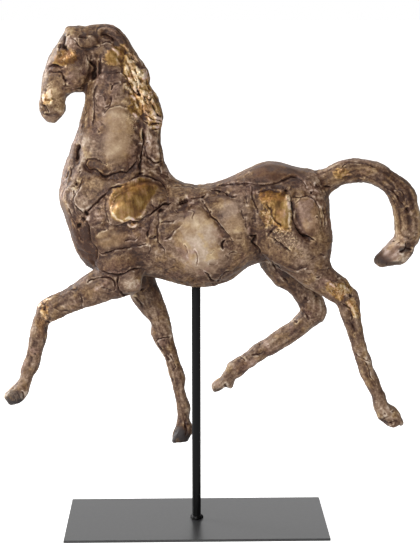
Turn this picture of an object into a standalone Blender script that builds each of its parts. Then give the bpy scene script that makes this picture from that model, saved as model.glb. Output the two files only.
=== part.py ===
"""A running horse cast in stone-like resin, carried by a steel rod on a steel base plate.

Metres, +Z up. The horse faces -X, and the origin is the middle of the base plate's underside.
The horse is a free form: it is drawn in parts, of which horse_parts make up its own length,
from a point on its belly where the rod goes in. X and Z below are counted in those parts.
"""

import math

import bmesh
import bpy
import numpy as np
from mathutils import Matrix

# Stand
base_length = 0.295
base_depth = 0.127
base_thickness = 0.003
base_edge_round = 0.0006
rod_diameter = 0.010
rod_end_chamfer = 0.0008
weld_width = 0.0019
weld_height = 0.0042
weld_lump = 0.11
seating_gap = 0.0003

# Horse and its seat on the rod
horse_length = 0.463
horse_parts = 463.0
belly_height = 0.275
socket_depth = 0.028

# Fineness of the carving, in parts of the horse's length. Softening the edges takes worn_depth
# off all round, so the masses are drawn that much fuller.
worn_depth = 0.6
cast_grain = 1.9
cut_spacing = 3.0
ring_points = 20
ring_roundness = 0.9
end_bulge = 0.45
horse_triangles = 8800
rod_sides = 32

# Each mass of the horse is a row of cuts. A cut is the two points where it meets the outline
# seen from the side, then its half width across and how far its middle lies to the right.
trunk = (
    (-144, 117, -144.5, 86, 18, 0),
    (-136, 127, -137, 60, 30, 0),
    (-120, 131, -128, 35, 38, 0),
    (-97, 129, -110, 19, 42, 0),
    (-72, 125, -79, 14, 43, 0),
    (-45, 120, -49, 12.5, 42, 0),
    (-16, 115.5, -20, 4.6, 43, 0),
    (10, 113.3, 8, 0.6, 44, 0),
    (33, 119.7, 36, 7, 43, 0),
    (58, 131, 60, 24, 41, 0),
    (81, 139, 84, 29, 40, 0),
    (108, 133, 111, 25, 38, 0),
    (129, 129, 133, 33, 32, 0),
    (135.5, 122, 138.5, 42, 23, 0),
)
neck = (
    (-149, 98, -22, 108, 38, 0),
    (-147, 117, -38, 126, 33, 0),
    (-141, 140, -46, 150, 27, 0),
    (-133, 160, -50, 170, 24, 0),
    (-125.5, 180, -52, 190, 21.5, 0),
    (-119.5, 200, -56, 210, 19.5, 0),
    (-118, 217, -60, 228, 18, 0),
    (-116, 236, -66, 246, 16.5, 0),
    (-118, 256, -74, 262, 15, 0),
    (-122, 272, -86, 275, 12, 0),
)
mane = (
    (-133, 264, -137, 283, 9, 0),
    (-124, 262, -125, 283.5, 10, 0),
    (-112, 260, -109, 284, 11, 0),
    (-97, 258, -90, 285.5, 12, 0),
    (-88, 251, -75.5, 275, 13, 0),
    (-80, 240, -62.5, 253, 13.5, 0),
    (-76, 228, -51, 235, 13.5, 0),
    (-73, 214, -49, 221, 14, 0),
    (-70, 199, -39.5, 206, 14.5, 0),
    (-66, 186, -35.5, 187, 15, 0),
    (-64, 170, -37.8, 170, 15, 0),
    (-62, 154, -37.5, 155, 15.5, 0),
    (-58, 138, -33, 138, 16, 0),
    (-52, 118, -25, 122, 17, 0),
    (-40, 102, -10, 114, 17, 0),
)
head = (
    (-137, 281, -104, 266, 12, 0),
    (-143.5, 271, -106, 250, 16, 0),
    (-151.5, 258.5, -108, 236, 18, 0),
    (-159.5, 243, -112, 222, 19, 0),
    (-163.5, 227, -121, 214.5, 17, 0),
    (-166, 213, -135, 212.5, 13.5, 0),
    (-168, 203, -141, 203.5, 12.5, 0),
    (-168, 195.5, -140.5, 194.5, 12.5, 0),
    (-164.5, 187.5, -146, 186.5, 11, 0),
    (-160, 183, -150, 182.2, 8, 0),
)
near_shoulder = (
    (-112, 116, -48, 116, 16, -17),
    (-124, 92, -46, 92, 23, -21),
    (-126, 66, -52, 62, 23, -22),
    (-116, 42, -56, 34, 20, -23),
    (-106, 27, -60, 4, 17, -25),
)
near_fore_leg = (
    (-92, 40, -62, 0, 16, -25),
    (-108, 25, -78, -5, 15, -26),
    (-120, 19, -99, -10, 14, -26),
    (-134, 8.5, -115, -15.5, 12.5, -26),
    (-148, 0, -136, -22.5, 11, -26),
    (-160, -5.5, -151, -29.5, 10.5, -26),
    (-170.5, -12, -160, -34, 10.5, -25.5),
    (-177, -26, -162.5, -41, 10, -25),
    (-182, -48, -164.5, -54, 8.5, -25),
    (-186.5, -69, -169, -68, 8, -25),
    (-191.5, -84, -173, -84, 8, -25),
    (-195.5, -97, -180, -94.5, 8.8, -25),
    (-200, -104, -184, -108, 9.2, -25),
    (-207, -109.5, -187.5, -118, 10.5, -25),
    (-211.5, -115, -194, -123.5, 11, -25),
    (-211.5, -119.5, -203, -126, 9, -25),
)
far_shoulder = tuple((ax, az, bx, bz, half, -right) for ax, az, bx, bz, half, right in near_shoulder[:4])
far_fore_leg = (
    (-92, 34, -45, 30, 18, 22),
    (-80, 5, -45.5, 6, 15, 22),
    (-72, -18, -39.5, -12, 13.5, 22),
    (-64, -31, -34, -26, 12, 21.5),
    (-54, -41, -31, -39, 11, 21),
    (-50, -50, -29, -49, 10.5, 21),
    (-52, -58, -27.5, -57.5, 11, 21),
    (-46, -70, -25, -68, 9.5, 21),
    (-39.5, -81, -21, -80, 8.5, 21),
    (-33.8, -94, -17.2, -94, 7.8, 21),
    (-28.5, -112, -12.2, -111, 8.2, 21),
    (-25.5, -124, -13, -123, 7.6, 21),
    (-23, -138, -10.3, -137, 7.8, 21),
    (-22.6, -148, -6.5, -147, 8.8, 21),
    (-21.5, -159, -9, -158.5, 8.4, 21),
    (-22.5, -167, -5, -166, 10, 21),
    (-26, -176, -4.5, -175, 11.5, 21),
    (-27, -184.5, -7.5, -182.5, 11.5, 21),
)
near_hind_leg = (
    (70, 118, 134, 116, 15, -16),
    (62, 92, 142.5, 90, 21, -20),
    (62, 64, 148, 62, 22.5, -21.5),
    (70, 42, 146.5, 42, 21, -23),
    (86, 28, 146, 30, 18, -24),
    (104, 16, 152, 20.5, 16, -24),
    (121, 3.2, 163, 12.5, 14, -24),
    (135, -5, 169, 4.5, 12.5, -23),
    (147, -11.5, 176, -1, 12, -22.5),
    (155.5, -18, 178.5, -13, 11.5, -22),
    (159, -29, 180, -28, 10.5, -22),
    (164.5, -43.5, 182.5, -43, 9.5, -22),
    (171, -63, 188, -64, 9, -22),
    (175.5, -79, 193.5, -79.5, 8.6, -22),
    (181, -95, 199.5, -95, 8.6, -22),
    (188, -108, 205.5, -110.5, 8.8, -22),
    (195, -120, 209.7, -120.5, 9.4, -22),
    (197.5, -130, 213.5, -129.5, 9.8, -22),
    (200, -141, 224, -136.5, 10.8, -22),
    (206, -150, 228.5, -145, 11.4, -22),
    (217, -154.5, 229.5, -152, 10.5, -22),
)
far_hind_leg = (
    (70, 118, 134, 116, 15, 16),
    (62, 92, 142.5, 90, 21, 20),
    (62, 64, 148, 62, 22.5, 21),
    (66, 36, 144.5, 38, 21, 21),
    (75, 15.5, 140, 20, 18, 21),
    (90, -3, 138, 3, 15.5, 21),
    (104, -10.5, 140, -10, 13.5, 20.5),
    (113, -22, 144, -21.5, 12.5, 20),
    (118.5, -31, 148, -33, 12, 20),
    (117.5, -35, 144, -43.5, 11.6, 20),
    (112, -40, 132, -52, 11, 20),
    (103, -48.5, 118, -63.5, 10.4, 20),
    (87, -59, 97, -77, 9.6, 20),
    (70.5, -70, 80, -87, 9, 20),
    (55.5, -81.5, 65, -96, 8.6, 20),
    (43, -89.5, 54, -106, 9.2, 20),
    (36, -94.5, 46, -112, 9.6, 20),
    (32.5, -104.5, 41, -117, 9, 20),
    (27, -112, 32, -122, 9.6, 20),
    (21, -115.8, 25, -126.8, 10, 20),
    (17.5, -119.5, 20.5, -127.2, 8.5, 20),
)
far_hind_heel = (
    (33, -112, 43, -112, 7, 20),
    (35.5, -119, 41.5, -119, 6, 20),
    (37, -123.5, 41, -123.2, 4, 20),
)
tail = (
    (126, 128, 128, 104, 11, 0),
    (140, 130, 143, 102.5, 12, 0),
    (150.5, 136, 152, 107.5, 12, 0),
    (161, 140.4, 161, 113.8, 12.5, 0),
    (174, 142.3, 174, 116.2, 13, 0),
    (189, 140.3, 184.5, 116.8, 13, 0),
    (203, 135.5, 193.5, 113.8, 13, 0),
    (217, 126, 201.5, 108.8, 13.5, 0),
    (232, 115.5, 208.5, 102.5, 14, 0),
    (241, 105, 212.5, 94, 14.5, 0),
    (244.5, 88, 216.8, 82.5, 15, 0),
    (247.5, 70, 219, 68, 15, 0),
    (247.5, 55, 219.5, 57, 14.5, 0),
    (241.5, 44.5, 215, 51, 13.5, 0),
    (238, 34, 208.5, 44, 12.5, 0),
    (229, 25, 204, 38.5, 11.5, 0),
    (214, 22.3, 200, 34.5, 10.5, 0),
    (203, 21.8, 197.2, 29.5, 8, 0),
)
ear = (
    (-129, 262, -130, 271, 4, 14.5),
    (-121, 260, -121, 273, 5, 15.5),
    (-112, 262, -111, 272.5, 4.5, 15.5),
    (-104.5, 265.5, -104, 270, 3, 14),
)
elbow = (
    (-84, 17, -84, 2, 6, -36),
    (-73, 20, -71, 0, 8, -36),
    (-62, 16, -61, 5, 6, -35),
)

# The deepest carved lines: points of the outline seen from the side, depth and half width.
# Both flanks carry them. On the right flank they wander a little, as no two sides are alike.
flank_lines = (
    (((-73, 113), (-60, 120), (-47, 120.5), (-37, 116), (-31, 106), (-34, 92)), 2.4, 2.6),
    (((-34, 92), (-50, 81), (-61, 72), (-77, 70), (-92, 71)), 2.0, 2.4),
    (((-92, 71), (-96, 80), (-91, 94), (-86, 106), (-73, 113)), 2.2, 2.4),
    (((-39, 85), (-28, 89), (-14, 94), (2, 100), (17, 106), (28, 107.5)), 3.0, 2.8),
    (((28, 107.5), (47, 112.5), (68, 113.7), (86, 115.7)), 2.2, 2.4),
    (((6, 93.6), (17.5, 83), (27, 69), (39.5, 54)), 1.8, 2.2),
    (((64, 108), (61, 84), (64, 56), (69, 35)), 2.8, 2.8),
    (((106, 108), (105.5, 96), (108.5, 84), (112.5, 69), (121, 60)), 3.4, 2.6),
    (((86, 30), (102.5, 21.5), (113, 19), (123, 21)), 2.4, 2.2),
    (((-2, 12), (12.5, 15), (27, 8), (40, 15), (56, 25)), 1.8, 2.2),
    (((-96, 197), (-85, 199), (-75, 196), (-66, 186), (-60, 172)), 2.0, 2.4),
    (((-118, 137), (-105, 129.5), (-90, 124.5), (-72, 130), (-62, 141), (-58, 152)), 2.6, 2.6),
    (((-57, 172), (-59, 152), (-60, 124)), 2.6, 2.4),
    (((-127, 157), (-128, 148), (-127, 141)), 2.2, 2.2),
    (((-138, 108), (-127, 116), (-113, 126), (-94, 132)), 2.4, 2.4),
    (((-138, 106), (-134, 92), (-126, 74), (-122, 62)), 2.2, 2.4),
    (((-122, 62), (-108, 60), (-92, 64)), 2.0, 2.2),
    (((-126, 44), (-108, 40), (-86, 46)), 2.0, 2.2),
)
head_lines = (
    (((-107, 252), (-109, 240), (-112, 229), (-119, 219)), 4.0, 2.6),
    (((-157, 242), (-150, 243), (-143, 240)), 2.2, 1.9),
    (((-156, 236), (-150, 234), (-144, 236)), 1.6, 1.7),
    (((-164, 201), (-161, 197), (-159, 193)), 2.2, 1.9),
    (((-166, 191.5), (-157, 190), (-149, 192.5)), 1.8, 1.7),
    (((-147, 226), (-140, 219), (-132, 217)), 1.5, 2.2),
)

# Where the hair hangs: its front line down the neck, and the wave of each lock of it
mane_front = ((-98, 274), (-86, 262), (-80, 244), (-76, 226), (-72, 206), (-68, 186), (-64, 164), (-62, 144))
lock_count = 13
lock_length = 40.0
lock_fall = -0.62
lock_wave = 2.2
lock_depth = 2.3
lock_half_width = 2.2

# Hair of the tail and sinews of the legs run along a mass, at a share of its half height
tail_strands = (-0.45, 0.05, 0.5)
strand_depth = 1.9
strand_half_width = 2.0
sinew_share = 0.15
sinew_depth = 1.2
right_flank_wander = 4.0


def smooth_row(row, spacing):
    """The row's values read along a smooth curve that passes through all of them."""
    row = np.array(row, dtype=float)
    padded = np.vstack((2 * row[0] - row[1], row, 2 * row[-1] - row[-2]))
    values = []
    for index in range(1, len(padded) - 2):
        before, start, end, after = padded[index - 1:index + 3]
        steps = max(1, math.ceil(float(np.abs(end - start)[:4].max()) / spacing))
        for step in range(steps):
            t = step / steps
            values.append(
                start
                + 0.5 * t * (end - before)
                + t * t * (before - 2.5 * start + 2 * end - 0.5 * after)
                + 0.5 * t * t * t * (3 * (start - end) + after - before)
            )
    values.append(row[-1])
    return np.array(values)


def ring_of(cut, grow, advance):
    """The corners of one cut: a rounded oval between its two outline points."""
    ax, az, bx, bz, half, right = cut
    fuller = 0.5 + worn_depth / math.hypot(ax - bx, az - bz)
    ring = []
    for index in range(ring_points):
        angle = 2 * math.pi * index / ring_points
        along = math.copysign(abs(math.cos(angle)) ** ring_roundness, math.cos(angle)) * grow
        across = math.copysign(abs(math.sin(angle)) ** ring_roundness, math.sin(angle)) * grow
        x = (ax + bx) / 2 + (ax - bx) * along * fuller + advance[0]
        z = (az + bz) / 2 + (az - bz) * along * fuller + advance[1]
        ring.append((x, right + (half + worn_depth) * across, z))
    return ring


def loft(mesh, cuts):
    """One closed mass through a row of cuts, rounded off past its first and last."""
    cuts = smooth_row(cuts, cut_spacing)
    middles = (cuts[:, 0:2] + cuts[:, 2:4]) / 2
    rings = []
    for end, inner, shares in ((0, 1, (0.9, 0.6, 0.3)), (-1, -2, (0.3, 0.6, 0.9))):
        out = middles[end] - middles[inner]
        out = out / max(float(np.linalg.norm(out)), 1e-6)
        reach = end_bulge * min(float(np.linalg.norm(cuts[end, 0:2] - cuts[end, 2:4])) / 2, cuts[end, 4])
        cap = [ring_of(cuts[end], math.sqrt(1 - share * share), out * reach * share) for share in shares]
        if end == 0:
            rings = cap + [ring_of(cut, 1.0, (0.0, 0.0)) for cut in cuts]
        else:
            rings += cap
    loops = [[mesh.verts.new(corner) for corner in ring] for ring in rings]
    for first, second in zip(loops, loops[1:]):
        for index in range(ring_points):
            after = (index + 1) % ring_points
            mesh.faces.new((first[index], first[after], second[after], second[index]))
    mesh.faces.new(loops[0][::-1])
    mesh.faces.new(loops[-1])


def mesh_of(source):
    """The finished mesh of an object with its modifiers, as a mesh of its own."""
    depsgraph = bpy.context.evaluated_depsgraph_get()
    depsgraph.update()
    return bpy.data.meshes.new_from_object(source.evaluated_get(depsgraph))


def principled(name, colour, roughness, metallic):
    material = bpy.data.materials.new(name)
    material.use_nodes = True
    shader = material.node_tree.nodes["Principled BSDF"]
    shader.inputs["Base Color"].default_value = (*colour, 1.0)
    shader.inputs["Roughness"].default_value = roughness
    shader.inputs["Metallic"].default_value = metallic
    return material


def put(name, mesh, collection):
    thing = bpy.data.objects.new(name, mesh)
    collection.objects.link(thing)
    return thing


def wander(points):
    """The same carved line on the other flank, drawn a little off."""
    return tuple(
        (x + right_flank_wander * math.sin(z / 17), z + right_flank_wander * math.sin(x / 23))
        for x, z in points
    )


class Carving:
    """Moves the points of the cast inwards along lines drawn on its flanks."""

    def __init__(self, mesh):
        self.mesh = mesh
        count = len(mesh.vertices)
        flat = np.empty(count * 3)
        mesh.vertices.foreach_get("co", flat)
        self.points = flat.reshape(-1, 3).copy()
        mesh.vertex_normals.foreach_get("vector", flat)
        self.normals = flat.reshape(-1, 3).copy()
        self.depth = np.zeros(count)

    def distance(self, line, middle, side):
        """How far each point of one flank lies from a line, and far off on the other flank."""
        stroke = smooth_row(line, cut_spacing)
        seen = side * (self.points[:, 1] - middle) > 0
        away = np.full(len(self.points), 1e6)
        near = self.points[seen][:, (0, 2)]
        gaps = [np.hypot(near[:, 0] - x, near[:, 1] - z) for x, z in stroke]
        away[seen] = np.min(gaps, axis=0)
        return away

    def groove(self, line, depth, half_width, side, middle=0.0):
        away = self.distance(line, middle, side)
        share = np.clip(away / (2 * half_width), 0, 1)
        facing = np.clip(1.6 * side * self.normals[:, 1], 0, 1)
        cut = depth * facing * (0.5 + 0.5 * np.cos(math.pi * share))
        self.depth = np.maximum(self.depth, cut)

    def finish(self):
        moved = self.points - self.normals * self.depth[:, None]
        self.mesh.vertices.foreach_set("co", moved.reshape(-1))
        self.mesh.update()


def lock_lines():
    """The grooves between the locks of the mane, one under the other down the neck."""
    front = smooth_row(mane_front, cut_spacing)
    for index in range(lock_count):
        x, z = front[round(index * (len(front) - 1) / (lock_count - 1))]
        reach = np.linspace(0, lock_length, 8)
        swing = lock_wave * np.sin(reach / lock_length * 2 * math.pi + index)
        yield tuple(zip(x + reach, z + lock_fall * reach + swing))


def lengthwise(cuts, share, first, last):
    """A line along a mass, at a share of its half height from the middle."""
    points = []
    for ax, az, bx, bz, _, _ in cuts[first:last]:
        points.append(((ax + bx + share * (ax - bx)) / 2, (az + bz + share * (az - bz)) / 2))
    return tuple(points)


def carve(mesh):
    carving = Carving(mesh)
    for line, depth, half_width in flank_lines:
        carving.groove(line, depth, half_width, -1)
        carving.groove(wander(line), depth, half_width, 1)
    for line, depth, half_width in head_lines:
        for side in (-1, 1):
            carving.groove(line, depth, half_width, side)
    for line in lock_lines():
        for side in (-1, 1):
            carving.groove(line, lock_depth, lock_half_width, side)
    for share in tail_strands:
        for side in (-1, 1):
            carving.groove(lengthwise(tail, share, 3, -1), strand_depth, strand_half_width, side)
    for leg, first, last in ((near_fore_leg, 4, 11), (far_fore_leg, 6, 13),
                             (near_hind_leg, 8, 16), (far_hind_leg, 9, 15)):
        middle = leg[first][5]
        for side in (-1, 1):
            carving.groove(lengthwise(leg, sinew_share, first, last), sinew_depth,
                           strand_half_width, side, middle)
    carving.finish()


def cast_horse(collection):
    """The masses melted into one skin, carved, thinned out and brought to its real size."""
    masses = bmesh.new()
    far_ear = tuple((ax, az, bx, bz, half, right) for ax, az, bx, bz, half, right in ear)
    near_ear = tuple((ax, az, bx, bz, half, -right) for ax, az, bx, bz, half, right in ear)
    for cuts in (trunk, neck, mane, head, near_shoulder, far_shoulder, near_fore_leg, far_fore_leg,
                 near_hind_leg, far_hind_leg, far_hind_heel, tail, near_ear, far_ear, elbow):
        loft(masses, cuts)
    bmesh.ops.recalc_face_normals(masses, faces=masses.faces)
    rough = bpy.data.meshes.new("horse_masses")
    masses.to_mesh(rough)
    masses.free()

    block = put("horse_block", rough, collection)
    skin = block.modifiers.new("one skin", "REMESH")
    skin.mode = "VOXEL"
    skin.voxel_size = cast_grain
    soften = block.modifiers.new("worn edges", "SMOOTH")
    soften.factor = 0.5
    soften.iterations = 5
    cast = mesh_of(block)
    bpy.data.objects.remove(block)

    carve(cast)
    part_size = horse_length / horse_parts
    cast.transform(Matrix.Translation((0, 0, belly_height)) @ Matrix.Scale(part_size, 4))
    cast.name = "horse"
    horse = put("horse", cast, collection)
    thin = horse.modifiers.new("fewer faces", "DECIMATE")
    cast.calc_loop_triangles()
    thin.ratio = horse_triangles / len(cast.loop_triangles)
    thin.use_collapse_triangulate = True
    return horse


def bore_socket(horse, cutters):
    """The blind hole in the belly that the rod is bonded into."""
    depth = 2 * socket_depth
    bore = bmesh.new()
    radius = rod_diameter / 2 + seating_gap
    bmesh.ops.create_cone(bore, cap_ends=True, segments=rod_sides, radius1=radius,
                          radius2=radius, depth=depth)
    mesh = bpy.data.meshes.new("socket_cutter")
    bore.to_mesh(mesh)
    bore.free()
    cutter = put("socket_cutter", mesh, cutters)
    cutter.location.z = belly_height + socket_depth - depth / 2
    cutter.hide_render = True
    cutter.display_type = "WIRE"
    cut = horse.modifiers.new("rod socket", "BOOLEAN")
    cut.operation = "DIFFERENCE"
    cut.object = cutter
    cut.solver = "EXACT"


def turn_rod(collection):
    """The rod and the bead of weld round its foot, turned in one and then made lumpy."""
    radius = rod_diameter / 2
    foot = base_thickness + seating_gap
    top = belly_height + socket_depth - seating_gap
    profile = [(0.0, top), (radius - rod_end_chamfer, top), (radius, top - rod_end_chamfer)]
    bead_steps = 5
    for step in range(bead_steps + 1):
        angle = step / bead_steps * math.pi / 2
        profile.append((radius + weld_width * math.sin(angle), foot + weld_height * math.cos(angle)))
    profile.append((0.0, foot))
    line = bmesh.new()
    corners = [line.verts.new((x, 0.0, z)) for x, z in profile]
    for first, second in zip(corners, corners[1:]):
        line.edges.new((first, second))
    outline = bpy.data.meshes.new("rod_outline")
    line.to_mesh(outline)
    line.free()
    blank = put("rod_blank", outline, collection)
    turning = blank.modifiers.new("turning", "SCREW")
    turning.steps = rod_sides
    turning.render_steps = rod_sides
    turning.use_merge_vertices = True
    turning.merge_threshold = 0.00001
    turned = mesh_of(blank)
    bpy.data.objects.remove(blank)
    for vertex in turned.vertices:
        reach = math.hypot(vertex.co.x, vertex.co.y)
        share = (reach - radius) / weld_width
        if share > 0:
            angle = math.atan2(vertex.co.y, vertex.co.x)
            lump = 1 + weld_lump * share * (math.sin(3 * angle + 0.6) + 0.6 * math.sin(7 * angle))
            vertex.co.x *= lump
            vertex.co.y *= lump
    turned.name = "stand_rod"
    rod = put("stand_rod", turned, collection)
    turned.shade_smooth()
    turned.set_sharp_from_angle(angle=math.radians(35))
    return rod


def cut_plate(collection):
    bpy.ops.mesh.primitive_cube_add(size=1, location=(0, 0, base_thickness / 2))
    plate = bpy.context.active_object
    plate.name = "base_plate"
    plate.data.transform(Matrix.Diagonal((base_length, base_depth, base_thickness, 1)))
    for owner in plate.users_collection:
        owner.objects.unlink(plate)
    collection.objects.link(plate)
    rounding = plate.modifiers.new("broken edges", "BEVEL")
    rounding.width = base_edge_round
    rounding.segments = 2
    return plate


for old in list(bpy.data.objects):
    bpy.data.objects.remove(old)
sculpture = bpy.data.collections.new("running_horse_sculpture")
cutting_tools = bpy.data.collections.new("cutters")
bpy.context.scene.collection.children.link(sculpture)
bpy.context.scene.collection.children.link(cutting_tools)

horse = cast_horse(sculpture)
bore_socket(horse, cutting_tools)
horse.data.materials.append(principled("antiqued_resin", (0.30, 0.21, 0.14), 0.62, 0.0))
rod = turn_rod(sculpture)
rod.data.materials.append(principled("rod_black_paint", (0.012, 0.012, 0.013), 0.35, 0.0))
plate = cut_plate(sculpture)
plate.data.materials.append(principled("plate_black_paint", (0.012, 0.012, 0.013), 0.4, 0.0))
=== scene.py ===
import math

import bpy
import numpy as np
from mathutils import Euler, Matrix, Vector


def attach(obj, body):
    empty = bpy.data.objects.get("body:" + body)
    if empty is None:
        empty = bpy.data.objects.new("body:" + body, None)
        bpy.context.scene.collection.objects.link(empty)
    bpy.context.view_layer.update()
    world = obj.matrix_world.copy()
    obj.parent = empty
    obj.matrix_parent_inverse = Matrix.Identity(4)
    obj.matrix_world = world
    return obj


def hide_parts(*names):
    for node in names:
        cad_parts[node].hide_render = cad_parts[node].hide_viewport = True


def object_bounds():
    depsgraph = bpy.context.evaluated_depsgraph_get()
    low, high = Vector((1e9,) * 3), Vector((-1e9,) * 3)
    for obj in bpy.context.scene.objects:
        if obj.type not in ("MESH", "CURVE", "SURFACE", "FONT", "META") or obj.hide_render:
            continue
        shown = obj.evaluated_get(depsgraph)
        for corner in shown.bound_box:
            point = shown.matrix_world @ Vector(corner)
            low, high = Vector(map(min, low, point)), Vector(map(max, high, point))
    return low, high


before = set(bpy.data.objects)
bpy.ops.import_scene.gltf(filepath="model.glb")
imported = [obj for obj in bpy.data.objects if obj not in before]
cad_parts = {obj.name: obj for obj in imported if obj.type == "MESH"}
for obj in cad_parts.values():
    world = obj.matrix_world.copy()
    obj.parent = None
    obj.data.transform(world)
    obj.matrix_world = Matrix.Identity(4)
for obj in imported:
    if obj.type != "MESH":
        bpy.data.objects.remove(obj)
cad_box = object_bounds()


# The view. The camera stands where the photograph was taken from: about 1.4 m in front of the
# left flank, a little above the horse's back and tipped down, with a long lens.
photo_width = 420
photo_height = 560
camera_place = (-0.0162, -1.428, 0.577)
camera_turn = math.radians(-1.27)
camera_tip = math.radians(11.66)
focal_pixels = 1317.0


def new_object(name, data):
    """An object that carries this data, put into the scene."""
    made = bpy.data.objects.new(name, data)
    bpy.context.scene.collection.objects.link(made)
    return made


view = bpy.data.cameras.new("photograph_view")
view.sensor_width = 36.0
view.lens = focal_pixels * view.sensor_width / photo_height
view.clip_start = 0.05
view.clip_end = 60.0
camera = new_object("photograph_view", view)
camera.location = camera_place
camera.rotation_euler = Euler((math.pi / 2 - camera_tip, 0.0, camera_turn))
bpy.context.scene.camera = camera
bpy.context.view_layer.update()


# The studio. A wide pale table that runs back into a white room. The room is dark on the side of
# the camera, with soft lights in it, so that gloss shows as separate highlights.
table_reach = 120.0
table_white = (0.80, 0.80, 0.80)
pure_white = (1.0, 1.0, 1.0)
room_white = 1.0
room_dark = 0.10
room_on_object = 0.56
room_behind_object = 0.05
room_on_the_right = 0.25


class Nodes:
    """The nodes of a paint or a room, put in with their values and joined as they are made."""

    def __init__(self, owner):
        owner.use_nodes = True
        self.nodes = owner.node_tree.nodes
        self.links = owner.node_tree.links

    def put(self, socket, value):
        if isinstance(value, bpy.types.NodeSocket):
            self.links.new(value, socket)
        elif isinstance(value, tuple) and len(value) == 3 and socket.type == "RGBA":
            socket.default_value = (*value, 1.0)
        else:
            socket.default_value = value

    def node(self, kind, sockets, **settings):
        """The outputs of a new node with these settings and these values in its sockets."""
        node = self.nodes.new(kind)
        for name, setting in settings.items():
            setattr(node, name, setting)
        for socket, value in sockets.items():
            self.put(node.inputs[socket], value)
        return node.outputs

    def ramp(self, value, low, high, start=0.0, end=1.0):
        """A soft step from start to end while the value goes from low to high."""
        sockets = {"Value": value, "From Min": low, "From Max": high, "To Min": start, "To Max": end}
        return self.node("ShaderNodeMapRange", sockets, interpolation_type="SMOOTHSTEP")["Result"]

    def maths(self, kind, first, second):
        sockets = {0: first, 1: second}
        return self.node("ShaderNodeMath", sockets, operation=kind, use_clamp=True)[0]

    def times(self, first, second):
        return self.maths("MULTIPLY", first, second)

    def between(self, share, first, second):
        return self.node("ShaderNodeMix", {0: share, 2: first, 3: second}, data_type="FLOAT")[0]


def rectangle(name, width, depth):
    """A flat sheet of that size, facing up."""
    mesh = bpy.data.meshes.new(name)
    half_width = width / 2
    half_depth = depth / 2
    corners = [(-half_width, -half_depth, 0), (half_width, -half_depth, 0),
               (half_width, half_depth, 0), (-half_width, half_depth, 0)]
    mesh.from_pydata(corners, [], [(0, 1, 2, 3)])
    return new_object(name, mesh)


def soft_light(name, place, aim_height, width, height, power):
    """A large square lamp that looks at a height above the middle of the plate."""
    lamp = bpy.data.lights.new(name, "AREA")
    lamp.shape = "RECTANGLE"
    lamp.size = width
    lamp.size_y = height
    lamp.energy = power
    holder = new_object(name, lamp)
    holder.location = place
    aim = Vector((0, 0, aim_height)) - Vector(place)
    holder.rotation_euler = aim.to_track_quat("-Z", "Y").to_euler()


table = rectangle("pale_table", table_reach, table_reach)
table_material = bpy.data.materials.new("pale_table")
table_paint = Nodes(table_material)
seen_straight = table_paint.node("ShaderNodeLightPath", {})["Is Camera Ray"]
table_look = {
    "Base Color": table_white, "Roughness": 0.9, "Specular IOR Level": 0.1,
    "Emission Color": pure_white, "Emission Strength": seen_straight,
}
for name, value in table_look.items():
    table_paint.put(table_paint.nodes["Principled BSDF"].inputs[name], value)
table.data.materials.append(table_material)

soft_light("front_softbox", (-0.9, -2.2, 1.7), 0.3, 0.8, 0.8, 38.0)
soft_light("left_softbox", (-2.4, -0.9, 0.9), 0.35, 0.8, 1.2, 9.0)
soft_light("rim_softbox", (-2.3, 1.1, 1.3), 0.35, 0.8, 1.6, 70.0)
soft_light("top_softbox", (0.3, 0.3, 2.6), 0.3, 1.2, 1.2, 8.0)

room = bpy.data.worlds.new("white_room")
bpy.context.scene.world = room
walls = Nodes(room)
ray = walls.node("ShaderNodeLightPath", {})
sky = walls.node("ShaderNodeTexCoord", {})["Generated"]
toward = walls.node("ShaderNodeSeparateXYZ", {0: sky})
far_wall = walls.ramp(toward["Y"], 0.1, 0.75, room_dark, room_white)
right_wall = walls.ramp(toward["X"], 0.2, 0.7, room_white, room_on_the_right)
in_gloss = walls.times(far_wall, right_wall)
even_light = walls.ramp(toward["Y"], -0.9, 0.25, room_on_object, room_behind_object)
on_object = walls.between(ray["Is Diffuse Ray"], in_gloss, even_light)
in_view = walls.between(ray["Is Camera Ray"], on_object, room_white)
walls.put(walls.nodes["Background"].inputs["Strength"], in_view)
walls.put(walls.nodes["Background"].inputs["Color"], pure_white)
bpy.context.scene.view_settings.view_transform = "Standard"


# The horse. One piece cast in stone-filled resin from a model built up of slabs and strips of
# clay, so its skin is pads with dark cracks between them. It was washed with browns, cream and
# purple-grey, and gold leaf was rubbed over the mane, shoulder, hip, hock, knee and brow.
skin_grain = 0.0008
skin_softening = 22
horse_faces = 196000
near_middle = -0.024
far_middle = 0.021
belly_line = 0.272
leg_zone = 0.030
socket_radius = 0.0052
socket_surround = 0.0075
socket_end = 0.306
out_of_reach = 1e3
far_gap = 6.0
full_crack = 2.4
pixels_in_a_metre = 930.0
colour_names = ("wash", "gilt", "cream_and_painted_highlight", "umber_and_painted_shade", "mauve", "ochre", "slate", "calm", "painted_highlight",
                "shade", "glint", "amber")


def mesh_of(source):
    """The finished mesh of an object with its modifiers, as a mesh of its own."""
    depsgraph = bpy.context.evaluated_depsgraph_get()
    depsgraph.update()
    return bpy.data.meshes.new_from_object(source.evaluated_get(depsgraph))


def read(domain, field, width):
    values = np.empty(len(domain) * width)
    domain.foreach_get(field, values)
    return values.reshape(-1, width).copy()


def smoothstep(low, high, values):
    share = np.clip((values - low) / (high - low), 0.0, 1.0)
    return share * share * (3.0 - 2.0 * share)


def bell(off, width):
    """1 where the distance is nothing, dying away over a width."""
    return np.exp(-(off / width) ** 2)


def chance(cells, seed):
    """A repeatable random number from 0 to 1 for each whole-numbered cell."""
    mixed = (cells[:, 0] * 73856093) ^ (cells[:, 1] * 19349663) ^ (cells[:, 2] * 83492791)
    mixed = mixed ^ (seed * 2654435)
    mixed = (mixed ^ (mixed >> 13)) * 1274126177
    mixed = (mixed ^ (mixed >> 16)) & 0xFFFFFF
    return mixed / float(0xFFFFFF)


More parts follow.
